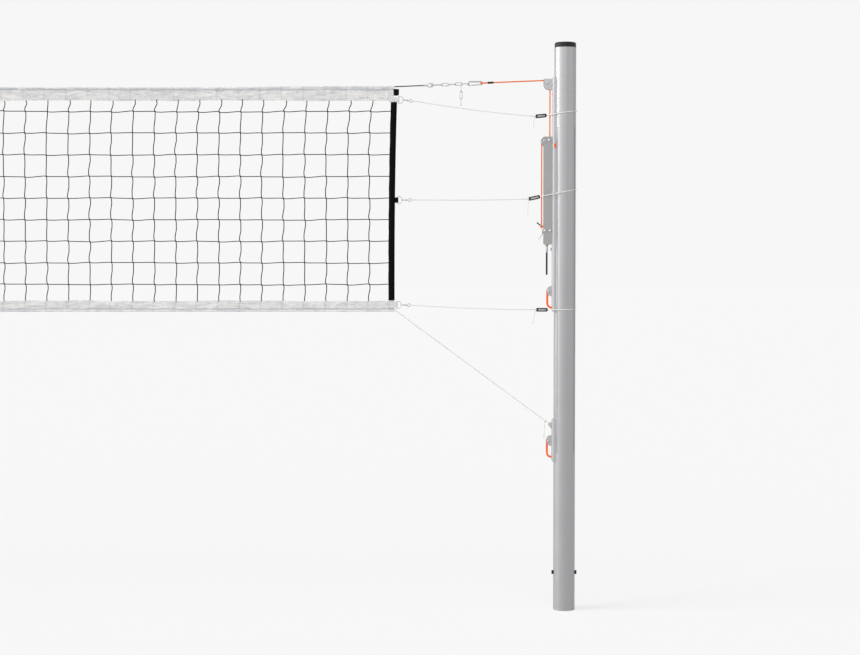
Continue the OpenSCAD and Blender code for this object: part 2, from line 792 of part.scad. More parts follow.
// hook round the ring, shank with a barrel, and an eye for the cord
module snap_hooks() {
    color([0.72, 0.73, 0.75]) both_ends() for (i = [0:2]) on_cord(i) {
        arc_bar(hook_ring, hook_wire, 0, 360);
        rod([hook_ring, 0, 0], [eye_s - eye_ring, 0, 0], 2.2);
        rod([12, 0, 0], [21, 0, 0], 3.6);
        xz_arc(eye_s, 0, eye_ring, eye_wire, 0, 360);
    }
}

// frame with a long slot that grips the cord
module cord_adjusters() {
    color([0.09, 0.09, 0.1]) both_posts() for (i = [0:2])
        translate([ADJ_X[i], ADJ_Y[i], ADJ_Z[i]])
            rotate([0, -atan2(ADJ_END[i] - ADJ_Z[i], ADJ_LEN[i]), 0]) difference() {
                xz_plate(-4.5, 4.5) {
                    translate([0, -8.5]) square([ADJ_LEN[i] - 6, 17]);
                    for (z = [-2.5, 2.5]) translate([ADJ_LEN[i] - 6, z]) circle(r = 6);
                    translate([ADJ_LEN[i] - 7, -2.5]) square([7, 5]);
                }
                xz_plate(-5, 5) {
                    translate([9, -3]) square([ADJ_LEN[i] - 18, 6]);
                    for (x = [9, ADJ_LEN[i] - 9]) translate([x, 0]) circle(r = 3);
                }
            }
}

// cord from its loop through a hook's eye to its adjuster
loop_in = 4.3;
loop_at = eye_s + eye_ring - eye_wire - cord_r - 0.1 + loop_in;
module cord_run(i) {
    reach = norm(cord_to(i) - cord_from(i)) - loop_at - 0.4;
    on_cord(i) translate([loop_at, 0, 0])
        tube(concat([[16, 2.3, 0], [9, 2.4, 0]],
                    [for (a = [60:24:300]) on_circle(loop_in, a)],
                    [[9, -2.4, 0], [18, -2.2, 0]],
                    [for (t = [0:1/6:1.01]) [30 + (reach - 30) * t, 0,
                                             -4 * SAG[i] * t * (1 - t)]]), cord_r);
}

// loop from the adjuster past two corners and round the far side of the post,
// rising along X
module cord_loop(i, bend) {
    out = [ADJ_X[i] + ADJ_LEN[i] + 1.2, ADJ_Y[i], 0];
    ring = post_r + cord_r + 0.8;
    turn = 180 - atan2(bend[1], -bend[0]) - acos(ring / norm(bend));
    near = [bend[0], -bend[1], 0];
    far = [bend[0], bend[1], 0];
    front = [bend[0] - 1, ADJ_Y[i], 0];
    back = out + [0, 2.3, 0];
    path = concat([out - [0, 2.3, 0]], corner(out, near, on_circle(ring, -turn)),
                  [for (k = [-8:8]) on_circle(ring, k * turn / 8)],
                  corner(on_circle(ring, turn), far, ADJ_Y[i] == 0 ? back : front),
                  ADJ_Y[i] == 0 ? [back] : concat(corner(far, front, back), [back]));
    tube([for (p = path) [p[0], p[1], ADJ_END[i] + (p[0] - out[0]) * RISE[i]]], cord_r);
}

module side_cords() {
    color([0.9, 0.9, 0.88]) {
        both_ends() for (i = [0:2]) cord_run(i);
        both_posts() for (i = [0, 2]) cord_loop(i, AT_CARRIAGE);
        at_right() cord_loop(1, AT_HOUSING);
        at_left() cord_loop(1, AT_CARRIAGE);
    }
}

// free ends: out of the adjusters, and below the knots of the bottom ropes
function adjuster_point(i, x, z) = let (a = atan2(ADJ_END[i] - ADJ_Z[i], ADJ_LEN[i]))
    [ADJ_X[i] + x * cos(a) - z * sin(a), ADJ_Y[i], ADJ_Z[i] + x * sin(a) + z * cos(a)];

module cord_tails() {
    color([0.88, 0.88, 0.86]) both_posts() {
        for (i = [0:2]) {
            out = adjuster_point(i, -0.1, -4.5);
            over = adjuster_point(i, -TAIL_OUT[i], -5.5);
            end = [ADJ_X[i] + TAIL[i][0], ADJ_Y[i], ADJ_Z[i] + TAIL[i][1]];
            tube(concat([out], corner(out, over, end, TAIL_OUT[i] - 1), [end]), cord_r);
        }
        top = low_point(-knot_at) - [0, 0, knot_r + 0.1];
        tube([top, top - [3, 0, 12], top - [5, 0, 30], top - [6, 0, 72]], low_r);
    }
}

// ---- ropes and fittings ----

// bottom rope from the net's hem to the ear, with a knot before its loop
hem_z = net_z0 + 3.5;
hem_out = [end_x + 3 - post_x, 0, hem_z];
low_dir = unit([ear_x, 0, ear_z] - hem_out);
low_ring = 8;
knot_at = 27;           // knot's distance from the ear's hole
knot_r = 6.2;
low_half = low_r + 0.25;
function low_point(u, y = 0) = [ear_x, y, ear_z] + u * low_dir;

module bottom_ropes() {
    start = [end_x - 28 - post_x, 0, hem_z];
    color([0.8, 0.8, 0.78]) both_posts() {
            tube(concat([start], corner(start, hem_out, [ear_x, 0, ear_z], 8),
                    [low_point(-knot_at - 26), low_point(-knot_at - 6, -low_half),
                     low_point(-knot_at + 6, -low_half)],
                    [for (a = [-120:20:120])
                        low_point(-low_ring + low_ring * cos(a), low_ring * sin(a))],
                    [low_point(-knot_at + 6, low_half), low_point(-knot_at, low_half)]), low_r);
            translate(low_point(-knot_at)) sphere(r = knot_r, $fn = 12);
        }
}

// straight from the net's other end to its anchor bolt
module on_left_line(s = 0) {
    mirror([1, 0, 0]) translate([end_x, 0, line_z])
        rotate([0, -atan2(line_dz, line_dx), 0]) translate([s, 0, 0]) children();
}

module top_ropes() {
    color([0.22, 0.17, 0.15]) {
        on_line() rod([-1, 0, 0], [ferrule_s + ferrule_len - 1, 0, 0], dark_r);
        on_left_line() {
            rod([-1, 0, 0], [line_len - anchor_r, 0, 0], dark_r);
            xz_arc(line_len, 0, anchor_r, dark_r + 0.2, 0, 360);
        }
    }
}

module ferrule(s0, s1) {
    difference() {
        rod([s0, 0, 0], [s1, 0, 0], 4.6);
        rod([s0 - 1, 0, 0], [s1 + 1, 0, 0], dark_r + 0.02);
    }
}

// crimped ferrules, and the metal eye that the right one holds
module rope_ferrules() {
    color([0.75, 0.76, 0.78]) {
        on_line() {
            ferrule(ferrule_s, ferrule_s + ferrule_len);
            xz_arc(thimble_s + 4, 0, thimble_r, dark_r, -90, 90);
            xz_arc(thimble_s - 4, 0, thimble_r, dark_r, 90, 270);
            for (z = [-thimble_r, thimble_r])
                rod([thimble_s - 4, 0, z], [thimble_s + 4, 0, z], dark_r);
        }
        on_left_line() ferrule(line_len - 38, line_len - 14);
    }
}

// one chain link, lying along X in the X-Z plane, its centre at the origin
module link() {
    half = link_len / 2 - link_w / 2;
    ring = (link_w - link_wire) / 2;
    for (s = [0, 180]) rotate([0, s, 0]) {
        xz_arc(half, 0, ring, link_r, -90, 90);
        rod([-half, 0, ring], [half, 0, ring], link_r);
    }
}

module chain() {
    color([0.6, 0.6, 0.62]) {
        for (i = [0:3]) on_line(chain_s + link_len / 2 + i * link_pitch)
            rotate([90 * (i % 2), 0, 0]) link();
        // spare links that hang from the third one
        on_line(chain_s + 2 * link_pitch + link_len / 2 + 11)
            rotate([0, line_a, 0]) for (i = [0:2])
                translate([0, 0, -link_len / 2 + 0.3 - i * link_pitch]) rotate([0, 90, 0])
                    rotate([90 * ((i + 1) % 2), 0, 0]) link();
    }
}

// bow shackle: its pin in the metal eye, its bow round the first link
bow_wire = 2.2;
bow_r = 7;
bow_s = chain_s + link_wire + 0.1 + bow_wire - bow_r;
pin_s = thimble_s + 4 + thimble_r - dark_r - 2.7;
module shackle() {
    color([0.72, 0.73, 0.75]) on_line() {
        for (y = [-bow_r, bow_r]) rod([pin_s, y, 0], [bow_s, y, 0], bow_wire);
        translate([bow_s, 0, 0]) arc_bar(bow_r, bow_wire, -90, 90);
        y_rod(pin_s, 0, 2.6, -12, 12);
        y_rod(pin_s, 0, 4.4, -13, -9.6);
        y_rod(pin_s, 0, 4.4, 9.6, 12);
    }
}

carab_left = carab_r + big_r;
carab_right = carab_len - small_r - carab_r;
hinge_x = carab_right - 4;
hinge_r = 1.1;
nose_a = 290;

// snap hook: spine on top, nose at the big end, gate hinge at the small end
module carabiner() {
    spine_a = 90 - asin((big_r - small_r) / (carab_right - carab_left));
    color([0.8, 0.81, 0.83]) on_line(carab_s) {
        rotate([90, 0, 0])
            tube(concat([for (k = [0:12]) let (a = nose_a + (spine_a - nose_a) * k / 12)
                            [carab_left, 0, 0] + on_circle(big_r, a)],
                        [for (k = [0:8]) let (a = spine_a - (spine_a + 90) * k / 8)
                            [carab_right, 0, 0] + on_circle(small_r, a)]), carab_r, 12);
        for (y = [-3.3, 1.9])
            block([hinge_x - 2.8, y, -small_r - 2.6], [carab_right + 1, y + 1.4, -small_r + 2.6]);
        y_rod(hinge_x, -small_r, hinge_r, -3, 3);
    }
}

module carabiner_gate() {
    color([0.8, 0.81, 0.83]) on_line(carab_s) difference() {
        union() {
            block([hinge_x - 4, -1.6, -small_r - 2.4], [hinge_x + 2.2, 1.6, -small_r + 2.4]);
            rod([hinge_x - 3.5, 0, -small_r], [carab_left + 7, 0, -big_r + 0.3], 2.6);
        }
        y_rod(hinge_x, -small_r, hinge_r + fit, -4, 4);
    }
}

// orange rope: end in the sleeve, loop through the snap hook, line, over the
// pulley and down; then up, out over the exit pulley and down to its knot
function along(s, y = 0) = [end_x + s * cos(line_a) - post_x, y, line_z + s * sin(line_a)];
module tension_rope() {
    c = loop_s + loop_r + rope_r;
    half = rope_r + 0.25;
    color([0.95, 0.42, 0.15]) at_right() {
        tube(concat([along(sleeve_s + sleeve_len + 4, half), along(c + 22, half)],
                    [for (a = [70:20:290]) along(c + loop_r * cos(a), loop_r * sin(a))],
                    [along(c + 22, -half), along(sleeve_s + sleeve_len + 4, -half),
                     along(sleeve_s + sleeve_len + 30), along(line_s - 6)],
                    [for (a = [90 + line_a:-(90 + line_a) / 8:0.1])
                        [pulley_x + wrap_r * cos(a), 0, pulley_z + wrap_r * sin(a)]],
                    [[strand_x, 0, pulley_z], [strand_x, 0, rope_joint_z]]), rope_r);
        tube(concat([[left_strand_x, 0, rope_joint_z]],
                    [for (a = [0:15:180])
                        [exit_x + exit_r * cos(a), 0, exit_z + exit_r * sin(a)]],
                    [[out_x, 0, knot_z]]), rope_r);
    }
}

// the two strands down to the traveller and the bight under its pulley
module inner_rope() {
    color([0.95, 0.42, 0.15]) at_right() {
        for (x = [strand_x, left_strand_x])
            translate([x, 0, trav_z]) cylinder(h = rope_joint_z - trav_z, r = rope_r);
        xz_arc(trav_x, trav_z, trav_r, rope_r, 180, 360);
    }
}

// outline round two strands that lie side by side
module two_strands(half, r) {
    for (y = [-half, half]) translate([y, 0]) circle(r = r);
    square([2 * half, 2 * r], center = true);
}

// flat sleeve round the rope and its own end
module rope_sleeve() {
    color([0.08, 0.08, 0.08]) on_line(sleeve_s) rotate([90, 0, 90])
        linear_extrude(height = sleeve_len) difference() {
            two_strands(rope_r + 0.25, rope_r + 1.6);
            two_strands(rope_r + 0.25, rope_r + 0.1);
        }
}

// knot at the rope's end, and a thin lashing from it to the hook
module rope_knot() {
    color([0.95, 0.42, 0.15]) at_right() {
        translate([out_x, 0, knot_z - 7.1]) sphere(r = 7);
        rod([out_x, 0, knot_z - 12], [house_x0 - 4, 0, hook_z + 5.8], 1.2);
    }
}

module knot_tail() {
    color([0.08, 0.08, 0.08]) at_right()
        rod([out_x - 5.5, 0, knot_z - 2.2], [out_x - 22, 0, knot_z + 11], 2.8);
}

right_post();
left_post();
post_caps();
foot_plugs();
stop_pins();
right_upper_carriage();
left_upper_carriage();
pulley_bracket();
anchor_bracket();
bracket_bolts();
tensioner_housing();
housing_bolts();
rope_hook();
spindle_bush();
carriage_bolts();
height_pointers();
upper_clamp_cheeks();
upper_clamp_bolts();
net_mesh();
top_tape();
bottom_tape();
side_bands();
side_rods();
ring_straps();
d_rings();
snap_hooks();
cord_adjusters();
side_cords();
cord_tails();
top_ropes();
rope_ferrules();
chain();
shackle();
carabiner();
tension_rope();
rope_sleeve();
rope_knot();
knot_tail();
bottom_ropes();
inner_rope();
top_pulley();
exit_pulley();
spindle();
crank_coupling();
crank_grip();
traveller();
traveller_bolt();
traveller_pulley();
carabiner_gate();
right_upper_lever();
left_upper_lever();
right_lower_lever();
left_lower_lever();
right_lower_carriage();
left_lower_carriage();
right_lower_clamp();
left_lower_clamp();
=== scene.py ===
"""A volleyball net on two slotted posts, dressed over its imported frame."""
import json
import math
import random

import bpy
from mathutils import Matrix, Vector


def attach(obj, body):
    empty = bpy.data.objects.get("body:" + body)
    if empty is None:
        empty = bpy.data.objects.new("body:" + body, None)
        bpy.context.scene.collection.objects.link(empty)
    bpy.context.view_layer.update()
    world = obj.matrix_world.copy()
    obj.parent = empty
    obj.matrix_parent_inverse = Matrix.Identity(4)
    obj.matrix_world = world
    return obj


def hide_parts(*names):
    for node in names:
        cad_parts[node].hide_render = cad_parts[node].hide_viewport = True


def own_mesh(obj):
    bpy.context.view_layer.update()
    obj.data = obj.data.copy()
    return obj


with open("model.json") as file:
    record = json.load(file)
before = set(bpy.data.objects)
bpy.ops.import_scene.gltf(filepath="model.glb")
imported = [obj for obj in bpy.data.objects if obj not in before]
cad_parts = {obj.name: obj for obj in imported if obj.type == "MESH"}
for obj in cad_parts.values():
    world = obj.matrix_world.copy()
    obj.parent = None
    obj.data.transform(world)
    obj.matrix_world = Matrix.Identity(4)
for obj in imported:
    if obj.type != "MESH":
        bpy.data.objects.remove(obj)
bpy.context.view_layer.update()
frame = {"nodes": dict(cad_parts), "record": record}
rng = random.Random(7)

MM = 0.001
TURN = 6.2832  # a full turn in radians, for the materials' waves
scene = bpy.context.scene

# sizes that the source shares, in millimetres
POST_X = 5540
NET_END = 4750
NET_TOP = 2430
POST_R = 50
FACE_X = -60
MESH_TOP = NET_TOP - 70
MESH_LOW = NET_TOP - 987
NET_LOW = NET_TOP - 1037
RINGS = [NET_TOP - 60, NET_TOP - 522, NET_TOP - 1008]
RING_X = [24, 19, 15]
RING_BAR = 5
SAG = [6, 3, 4]
ROD_X = NET_END - 14
LEAN = 12
ADJ_X = [-136, -166.5, -132]
ADJ_LEN = [50, 52, 52]
ADJ_Z = [NET_TOP - 136, NET_TOP - 517, NET_TOP - 1030]
ADJ_END = [NET_TOP - 131, NET_TOP - 506, NET_TOP - 1030]
ADJ_Y = [0, 0, -20]
RISE = [0.14, 0.2, 0.03]
TAIL = [[-14, -57], [-6.5, -72], [-17, -66]]
TAIL_OUT = [8, 6, 8]
PULLEY = (-83.5, NET_TOP + 17.8)
WRAP_R = 12.5
LINE_Z = NET_TOP + 1
EXIT = (-97.5, NET_TOP - 250)
EXIT_R = 11
STRAND_X = -71
LEFT_STRAND_X = -86.5
OUT_X = -108.5
KNOT_Z = NET_TOP - 637
HOOK_Z = NET_TOP - 669
ROPE_JOINT_Z = NET_TOP - 280
TRAVELLER = (-78.75, NET_TOP - 506)
TRAVELLER_R = 7.75
EAR = (-68, NET_TOP - 1564)
ROPE_R = 3
CORD_R = 2
LOW_R = 2.2
DARK_R = 2.5

# the mesh: half its width, its columns and rows, and the pitch of the columns
MESH_HALF = 4732
COLUMNS = 95
ROWS = 9
PITCH = (2 * MESH_HALF) / COLUMNS

# the folded tapes: open edge, crown round the rope, and +1 for the top one
TOP_BAND = (MESH_TOP + 7, NET_TOP, 1)
LOW_BAND = (MESH_LOW - 2, NET_LOW - 3, -1)
STITCH_AT = 13  # from the crown to the seam under the rope

# the tapes' looks, in metres; GROOVE_AT and GROOVE_HALF place the painted shade band under the rope
# roll
WEAVE = 0.0016
MARK_PITCH = 0.09962
GROOVE_AT = 0.0125
GROOVE_HALF = 0.0048

# height scale: its numbers are centimetres, and 0 would stand this far under the foot
SCALE_DROP = 271
SCALE_NUMBERS = range(101, 252)
SCALE_ANGLES = (-48, 57.5)


# ---- camera ----

camera_data = bpy.data.cameras.new("camera")
camera_data.lens = 76.0
camera_data.sensor_width = 36.0
camera_data.clip_end = 100
camera = bpy.data.objects.new("camera", camera_data)
camera.location = (4.9145, -8.430, 1.640)
camera.rotation_euler = (math.radians(90 - 2.194), 0, 0)
scene.collection.objects.link(camera)
scene.camera = camera


# ---- routes and meshes ----

def at(x, y, z, side=1):
    """A point in the frame of the right post, or of the left one with side -1, in metres."""
    return Vector((side * (POST_X + x), y, z)) * MM


def arc(radius, start, end, steps):
    """Points of a circle round the origin, from one angle in degrees to another."""
    return [(radius * math.cos(a), radius * math.sin(a))
            for a in (math.radians(start + (end - start) * k / steps) for k in range(steps + 1))]


def corner(before, middle, after, size=4.0, steps=4):
    """Rounded corner of a route, as the source rounds it, in the route's own unit."""
    a = middle + size * (before - middle).normalized()
    b = middle + size * (after - middle).normalized()
    points = []
    for k in range(steps + 1):
        t = k / steps
        points.append((1 - t) ** 2 * a + 2 * t * (1 - t) * middle + t * t * b)
    return points


class Shape:
    """Collects vertices, faces and rope coordinates for one mesh."""

    def __init__(self):
        self.verts = []
        self.faces = []
        self.uvs = []

    def face(self, corners, uvs=None):
        self.faces.append(tuple(corners))
        self.uvs.append(uvs or [(0.0, 0.0)] * len(corners))

    def tube(self, path, radius, sides=12):
        """Round bar along a path in metres; u runs with its length, v round it."""
        path = [Vector(p) for p in path]
        n = len(path)
        tangents = []
        for i in range(n):
            t = Vector((0, 0, 0))
            if i < n - 1:
                t += (path[i + 1] - path[i]).normalized()
            if i > 0:
                t += (path[i] - path[i - 1]).normalized()
            tangents.append(t.normalized())
        up = Vector((0, 0, 1)) if abs(tangents[0].z) < 0.7 else Vector((0, 1, 0))
        side = tangents[0].cross(up).normalized()
        start = len(self.verts)
        run = 0.0
        runs = []
        for i in range(n):
            side = (side - side.dot(tangents[i]) * tangents[i]).normalized()
            other = tangents[i].cross(side)
            if i:
                run += (path[i] - path[i - 1]).length
            runs.append(run)
            for k in range(sides):
                a = 2 * math.pi * k / sides
                self.verts.append(path[i] + radius * (math.cos(a) * side + math.sin(a) * other))
        for i in range(n - 1):
            for k in range(sides):
                a = start + i * sides + k
                b = start + i * sides + (k + 1) % sides
                v0, v1 = k / sides, (k + 1) / sides
                self.face((a, b, b + sides, a + sides),
                          [(runs[i], v0), (runs[i], v1), (runs[i + 1], v1), (runs[i + 1], v0)])
        self.face(range(start + sides - 1, start - 1, -1))
        self.face(range(start + (n - 1) * sides, start + n * sides))

    def loft(self, rings, closed_ends=True):
        """Skin over rings that all have the same number of points."""
        start = len(self.verts)
        m = len(rings[0])
        for ring in rings:
            self.verts.extend(Vector(p) for p in ring)
        for i in range(len(rings) - 1):
            for k in range(m):
                a = start + i * m + k
                b = start + i * m + (k + 1) % m
                self.face((a, b, b + m, a + m))
        if closed_ends:
            self.face(range(start + m - 1, start - 1, -1))
            self.face(range(start + (len(rings) - 1) * m, start + len(rings) * m))

    def ball(self, centre, radius, rows=4, columns=6, squash=(1, 1, 1)):
        rings = []
        for i in range(1, rows):
            a = math.pi * i / rows
            rings.append([centre + Vector((radius * squash[0] * math.sin(a) * math.cos(b),
                                           radius * squash[1] * math.sin(a) * math.sin(b),
                                           -radius * squash[2] * math.cos(a)))
                          for b in (2 * math.pi * k / columns for k in range(columns))])
        self.loft(rings)

    def piece(self, name, material, body="rig", smooth=True):
        mesh = bpy.data.meshes.new(name)
        mesh.from_pydata(self.verts, [], self.faces)
        layer = mesh.uv_layers.new(name="lay")
        flat = [uv for face in self.uvs for uv in face]
        for i, uv in enumerate(flat):
            layer.data[i].uv = uv
        mesh.validate()
        mesh.update()
        for p in mesh.polygons:
            p.use_smooth = smooth
        obj = bpy.data.objects.new(name, mesh)
        scene.collection.objects.link(obj)
        mesh.materials.append(material)
        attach(obj, body)
        return obj


# ---- materials ----

class Nodes:
    """A Principled material with a few shorthands for its node tree."""

    def __init__(self, name, colour, roughness, metallic=0.0):
        self.material = bpy.data.materials.new(name)
        self.material.use_nodes = True
        self.material.diffuse_color = (*colour, 1)
        self.tree = self.material.node_tree
        self.shader = self.tree.nodes["Principled BSDF"]
        self.shader.inputs["Base Color"].default_value = (*colour, 1)
        self.shader.inputs["Roughness"].default_value = roughness
        self.shader.inputs["Metallic"].default_value = metallic
        self.colour = colour

    def add(self, kind, **settings):
        node = self.tree.nodes.new(kind)
        for key, value in settings.items():
            setattr(node, key, value)
        return node

    def link(self, a, b):
        self.tree.links.new(a, b)

    def coords(self, scale):
        source = self.add("ShaderNodeTexCoord")
        mapping = self.add("ShaderNodeMapping")
        mapping.inputs["Scale"].default_value = scale
        self.link(source.outputs["Object"], mapping.inputs["Vector"])
        return mapping.outputs["Vector"]

    def noise(self, scale, detail=4.0, rough=0.5, stretch=(1, 1, 1), swirl=0.0):
        node = self.add("ShaderNodeTexNoise")
        node.inputs["Scale"].default_value = scale
        node.inputs["Detail"].default_value = detail
        node.inputs["Roughness"].default_value = rough
        node.inputs["Distortion"].default_value = swirl
        self.link(self.coords(stretch), node.inputs["Vector"])
        return node.outputs["Fac"]

    def wave(self, scale, direction):
        node = self.add("ShaderNodeTexWave", bands_direction=direction)
        node.inputs["Scale"].default_value = scale
        self.link(self.coords((1, 1, 1)), node.inputs["Vector"])
        return node.outputs["Fac"]

    def math(self, operation, a, b=None):
        node = self.add("ShaderNodeMath", operation=operation)
        for socket, value in zip(node.inputs, (a, b)):
            if isinstance(value, (int, float)):
                socket.default_value = value
            elif value is not None:
                self.link(value, socket)
        return node.outputs[0]

    def span(self, value, low, high):
        node = self.add("ShaderNodeMapRange")
        self.link(value, node.inputs["Value"])
        node.inputs["To Min"].default_value = low
        node.inputs["To Max"].default_value = high
        return node.outputs["Result"]

    def blend(self, factor, low, high):
        node = self.add("ShaderNodeMix", data_type="RGBA")
        self.link(factor, node.inputs["Factor"])
        node.inputs[6].default_value = (*low, 1)
        node.inputs[7].default_value = (*high, 1)
        return node.outputs[2]

    def paint(self, factor, spread):
        """Base colour that varies a little either side of the written one."""
        low = tuple(c * (1 - spread) for c in self.colour)
        high = tuple(min(1, c * (1 + spread)) for c in self.colour)
        self.link(self.blend(factor, low, high), self.shader.inputs["Base Color"])

    def rough(self, factor, low, high):
        self.link(self.span(factor, low, high), self.shader.inputs["Roughness"])

    def bump(self, height, strength, distance=0.001):
        node = self.add("ShaderNodeBump")
        node.inputs["Strength"].default_value = strength
        node.inputs["Distance"].default_value = distance
        self.link(height, node.inputs["Height"])
        self.link(node.outputs["Normal"], self.shader.inputs["Normal"])


def extruded(name, colour, roughness, metallic, spread=0.05):
    """Anodised bar: fine die lines along Z and a faint cloudiness."""
    m = Nodes(name, colour, roughness, metallic)
    lines = m.noise(1.0, 5, 0.6, (900, 900, 3))
    cloud = m.noise(9.0, 3)
    m.paint(m.math("MULTIPLY", m.math("ADD", lines, cloud), 0.5), spread)
    m.rough(cloud, roughness - 0.06, roughness + 0.06)
    m.bump(lines, 0.06, 0.0002)
    return m.material


def folded(name, colour, roughness, metallic):
    """Powdered sheet metal with a fine orange-peel surface."""
    m = Nodes(name, colour, roughness, metallic)
    peel = m.noise(900, 3)
    m.paint(m.noise(14, 4), 0.05)
    m.rough(m.noise(40, 3), roughness - 0.05, roughness + 0.08)
    m.bump(peel, 0.10, 0.0003)
    return m.material


def polished(name, colour, roughness, spread=0.04):
    m = Nodes(name, colour, roughness, 1.0)
    scratches = m.noise(1.0, 4, 0.6, (260, 1400, 260))
    m.paint(m.noise(120, 4), spread)
    m.rough(scratches, roughness - 0.06, roughness + 0.12)
    m.bump(scratches, 0.05, 0.0001)
    return m.material


def galvanised(name, colour):
    """Zinc: pale flakes of different brightness."""
    m = Nodes(name, colour, 0.4, 0.9)
    flakes = m.add("ShaderNodeTexVoronoi")
    flakes.inputs["Scale"].default_value = 420
    m.link(m.coords((1, 1, 1)), flakes.inputs["Vector"])
    m.paint(flakes.outputs["Distance"], 0.2)
    m.rough(m.noise(200, 3), 0.3, 0.55)
    m.bump(m.noise(700, 3), 0.12, 0.0002)
    return m.material


def moulded(name, colour, roughness, spread=0.12, gloss=0.45):
    m = Nodes(name, colour, roughness)
    grain = m.noise(1500, 2)
    m.paint(m.noise(60, 3), spread)
    m.rough(m.noise(120, 3), roughness - 0.06, roughness + 0.10)
    m.bump(grain, 0.08, 0.0002)
    m.shader.inputs["Specular IOR Level"].default_value = gloss
    return m.material


def woven(name, colour, pitch, spread, gloss):
    """Plain weave of that pitch in metres, in X and Z."""
    m = Nodes(name, colour, 0.85)
    turns = 1 / pitch / TURN * 0.5
    warp = m.wave(turns, "X")
    weft = m.wave(turns, "Z")
    cloth = m.math("MULTIPLY", warp, weft)
    dirt = m.noise(6, 5)
    m.paint(m.math("ADD", m.math("MULTIPLY", cloth, 0.5), m.math("MULTIPLY", dirt, 0.6)), spread)
    m.rough(dirt, 0.75, 0.95)
    m.bump(cloth, 0.35, 0.0006)
    m.shader.inputs["Specular IOR Level"].default_value = gloss
    return m.material


def canvas(name, colour):
    """Folded tape: weave, flat wrinkles with painted fold shade and highlight, and a groove under
    the rope it is sewn round, dented by the bump and darkened by painted shade.
    """
    m = Nodes(name, colour, 0.85)
    turns = 1 / WEAVE / TURN * 0.5
    cloth = m.math("MULTIPLY", m.wave(turns, "X"), m.wave(turns, "Z"))
    wrinkle = m.noise(1.0, 3, 0.5, (13, 13, 52), 1.2)
    pucker = m.noise(1.0, 3, 0.5, (45, 20, 40), 0.8)
    uv = m.add("ShaderNodeUVMap", uv_map="lay")
    parts = m.add("ShaderNodeSeparateXYZ")
    m.link(uv.outputs["UV"], parts.inputs["Vector"])
    # painted shade: a darker, wavering band GROOVE_AT under the crown, where the rope roll shades
    # the tape; the same band also dents the bump
    drift = m.span(m.noise(1.0, 3, 0.5, (24, 24, 1)), -0.006, 0.006)
    height = m.math("ADD", parts.outputs["Y"], drift)
    off = m.math("ABSOLUTE", m.math("SUBTRACT", height, GROOVE_AT))
    groove = m.math("MAXIMUM", m.math("SUBTRACT", 1.0, m.math("DIVIDE", off, GROOVE_HALF)), 0.0)
    groove = m.math("MULTIPLY", groove, m.span(m.noise(1.0, 2, 0.5, (30, 30, 1)), 0.1, 1.9))
    column = m.math("DIVIDE", parts.outputs["X"], MARK_PITCH)
    column = m.math("FRACT", m.math("ADD", column, 0.07))
    mark = m.math("SUBTRACT", 1.0, m.math("MULTIPLY", m.math(
        "ABSOLUTE", m.math("SUBTRACT", column, 0.5)), 13))
    mark = m.math("MULTIPLY", m.math("MAXIMUM", mark, 0.0), m.span(pucker, 0.0, 0.5))
    # painted fold shade and highlight: wrinkle and pucker noise, the same noise that drives the
    # bump
    soft = m.math("ADD", m.math("MULTIPLY", m.span(wrinkle, -0.75, 1.75), 0.7),
                  m.math("MULTIPLY", m.span(pucker, -0.5, 1.5), 0.3))
    # painted fold shade and highlight, painted groove shade, and the net's strings showing through
    # the tape as faint marks
    painted_shade_and_marks = m.math("SUBTRACT", m.math("ADD", soft, 0.08), m.math("ADD", mark, m.math(
        "MULTIPLY", groove, 0.8)))
    # low is the cool painted shade tone, high the warm painted highlight tone
    low = tuple(c * k for c, k in zip(colour, (0.68, 0.70, 0.73)))
    high = tuple(c * k for c, k in zip(colour, (1.24, 1.19, 1.13)))
    m.link(m.blend(painted_shade_and_marks, low, high), m.shader.inputs["Base Color"])
    m.rough(wrinkle, 0.75, 0.95)
    folds = m.math("ADD", soft, m.math("MULTIPLY", groove, -0.5))
    m.bump(m.math("ADD", m.math("MULTIPLY", cloth, 0.04), folds), 0.5, 0.004)
    return m.material


def laid(name, colour, lay, strands=3, spread=0.3, depth=0.5, gloss=0.3):
    """Rope: strands that wind round it, one turn in that many metres."""
    m = Nodes(name, colour, 0.8)
    uv = m.add("ShaderNodeUVMap", uv_map="lay")
    parts = m.add("ShaderNodeSeparateXYZ")
    m.link(uv.outputs["UV"], parts.inputs["Vector"])
    run = m.math("MULTIPLY", parts.outputs["X"], TURN * strands / lay)
    round_it = m.math("MULTIPLY", parts.outputs["Y"], TURN * strands)
    phase = m.math("MULTIPLY", m.math("ADD", run, round_it), 0.5)
    one = m.math("ABSOLUTE", m.math("SINE", phase))
    yarn = m.noise(2500, 2)
    m.paint(m.math("ADD", m.math("MULTIPLY", one, 0.8), m.math("MULTIPLY", yarn, 0.3)), spread)
    m.rough(yarn, 0.7, 0.9)
    m.bump(m.math("ADD", one, m.math("MULTIPLY", yarn, 0.25)), depth, 0.0008)
    m.shader.inputs["Specular IOR Level"].default_value = gloss
    return m.material


def timber(name, colour):
    m = Nodes(name, colour, 0.6)
    grain = m.noise(1.0, 5, 0.6, (300, 300, 6))
    m.paint(grain, 0.3)
    m.rough(grain, 0.5, 0.7)
    m.bump(grain, 0.15, 0.0003)
    return m.material


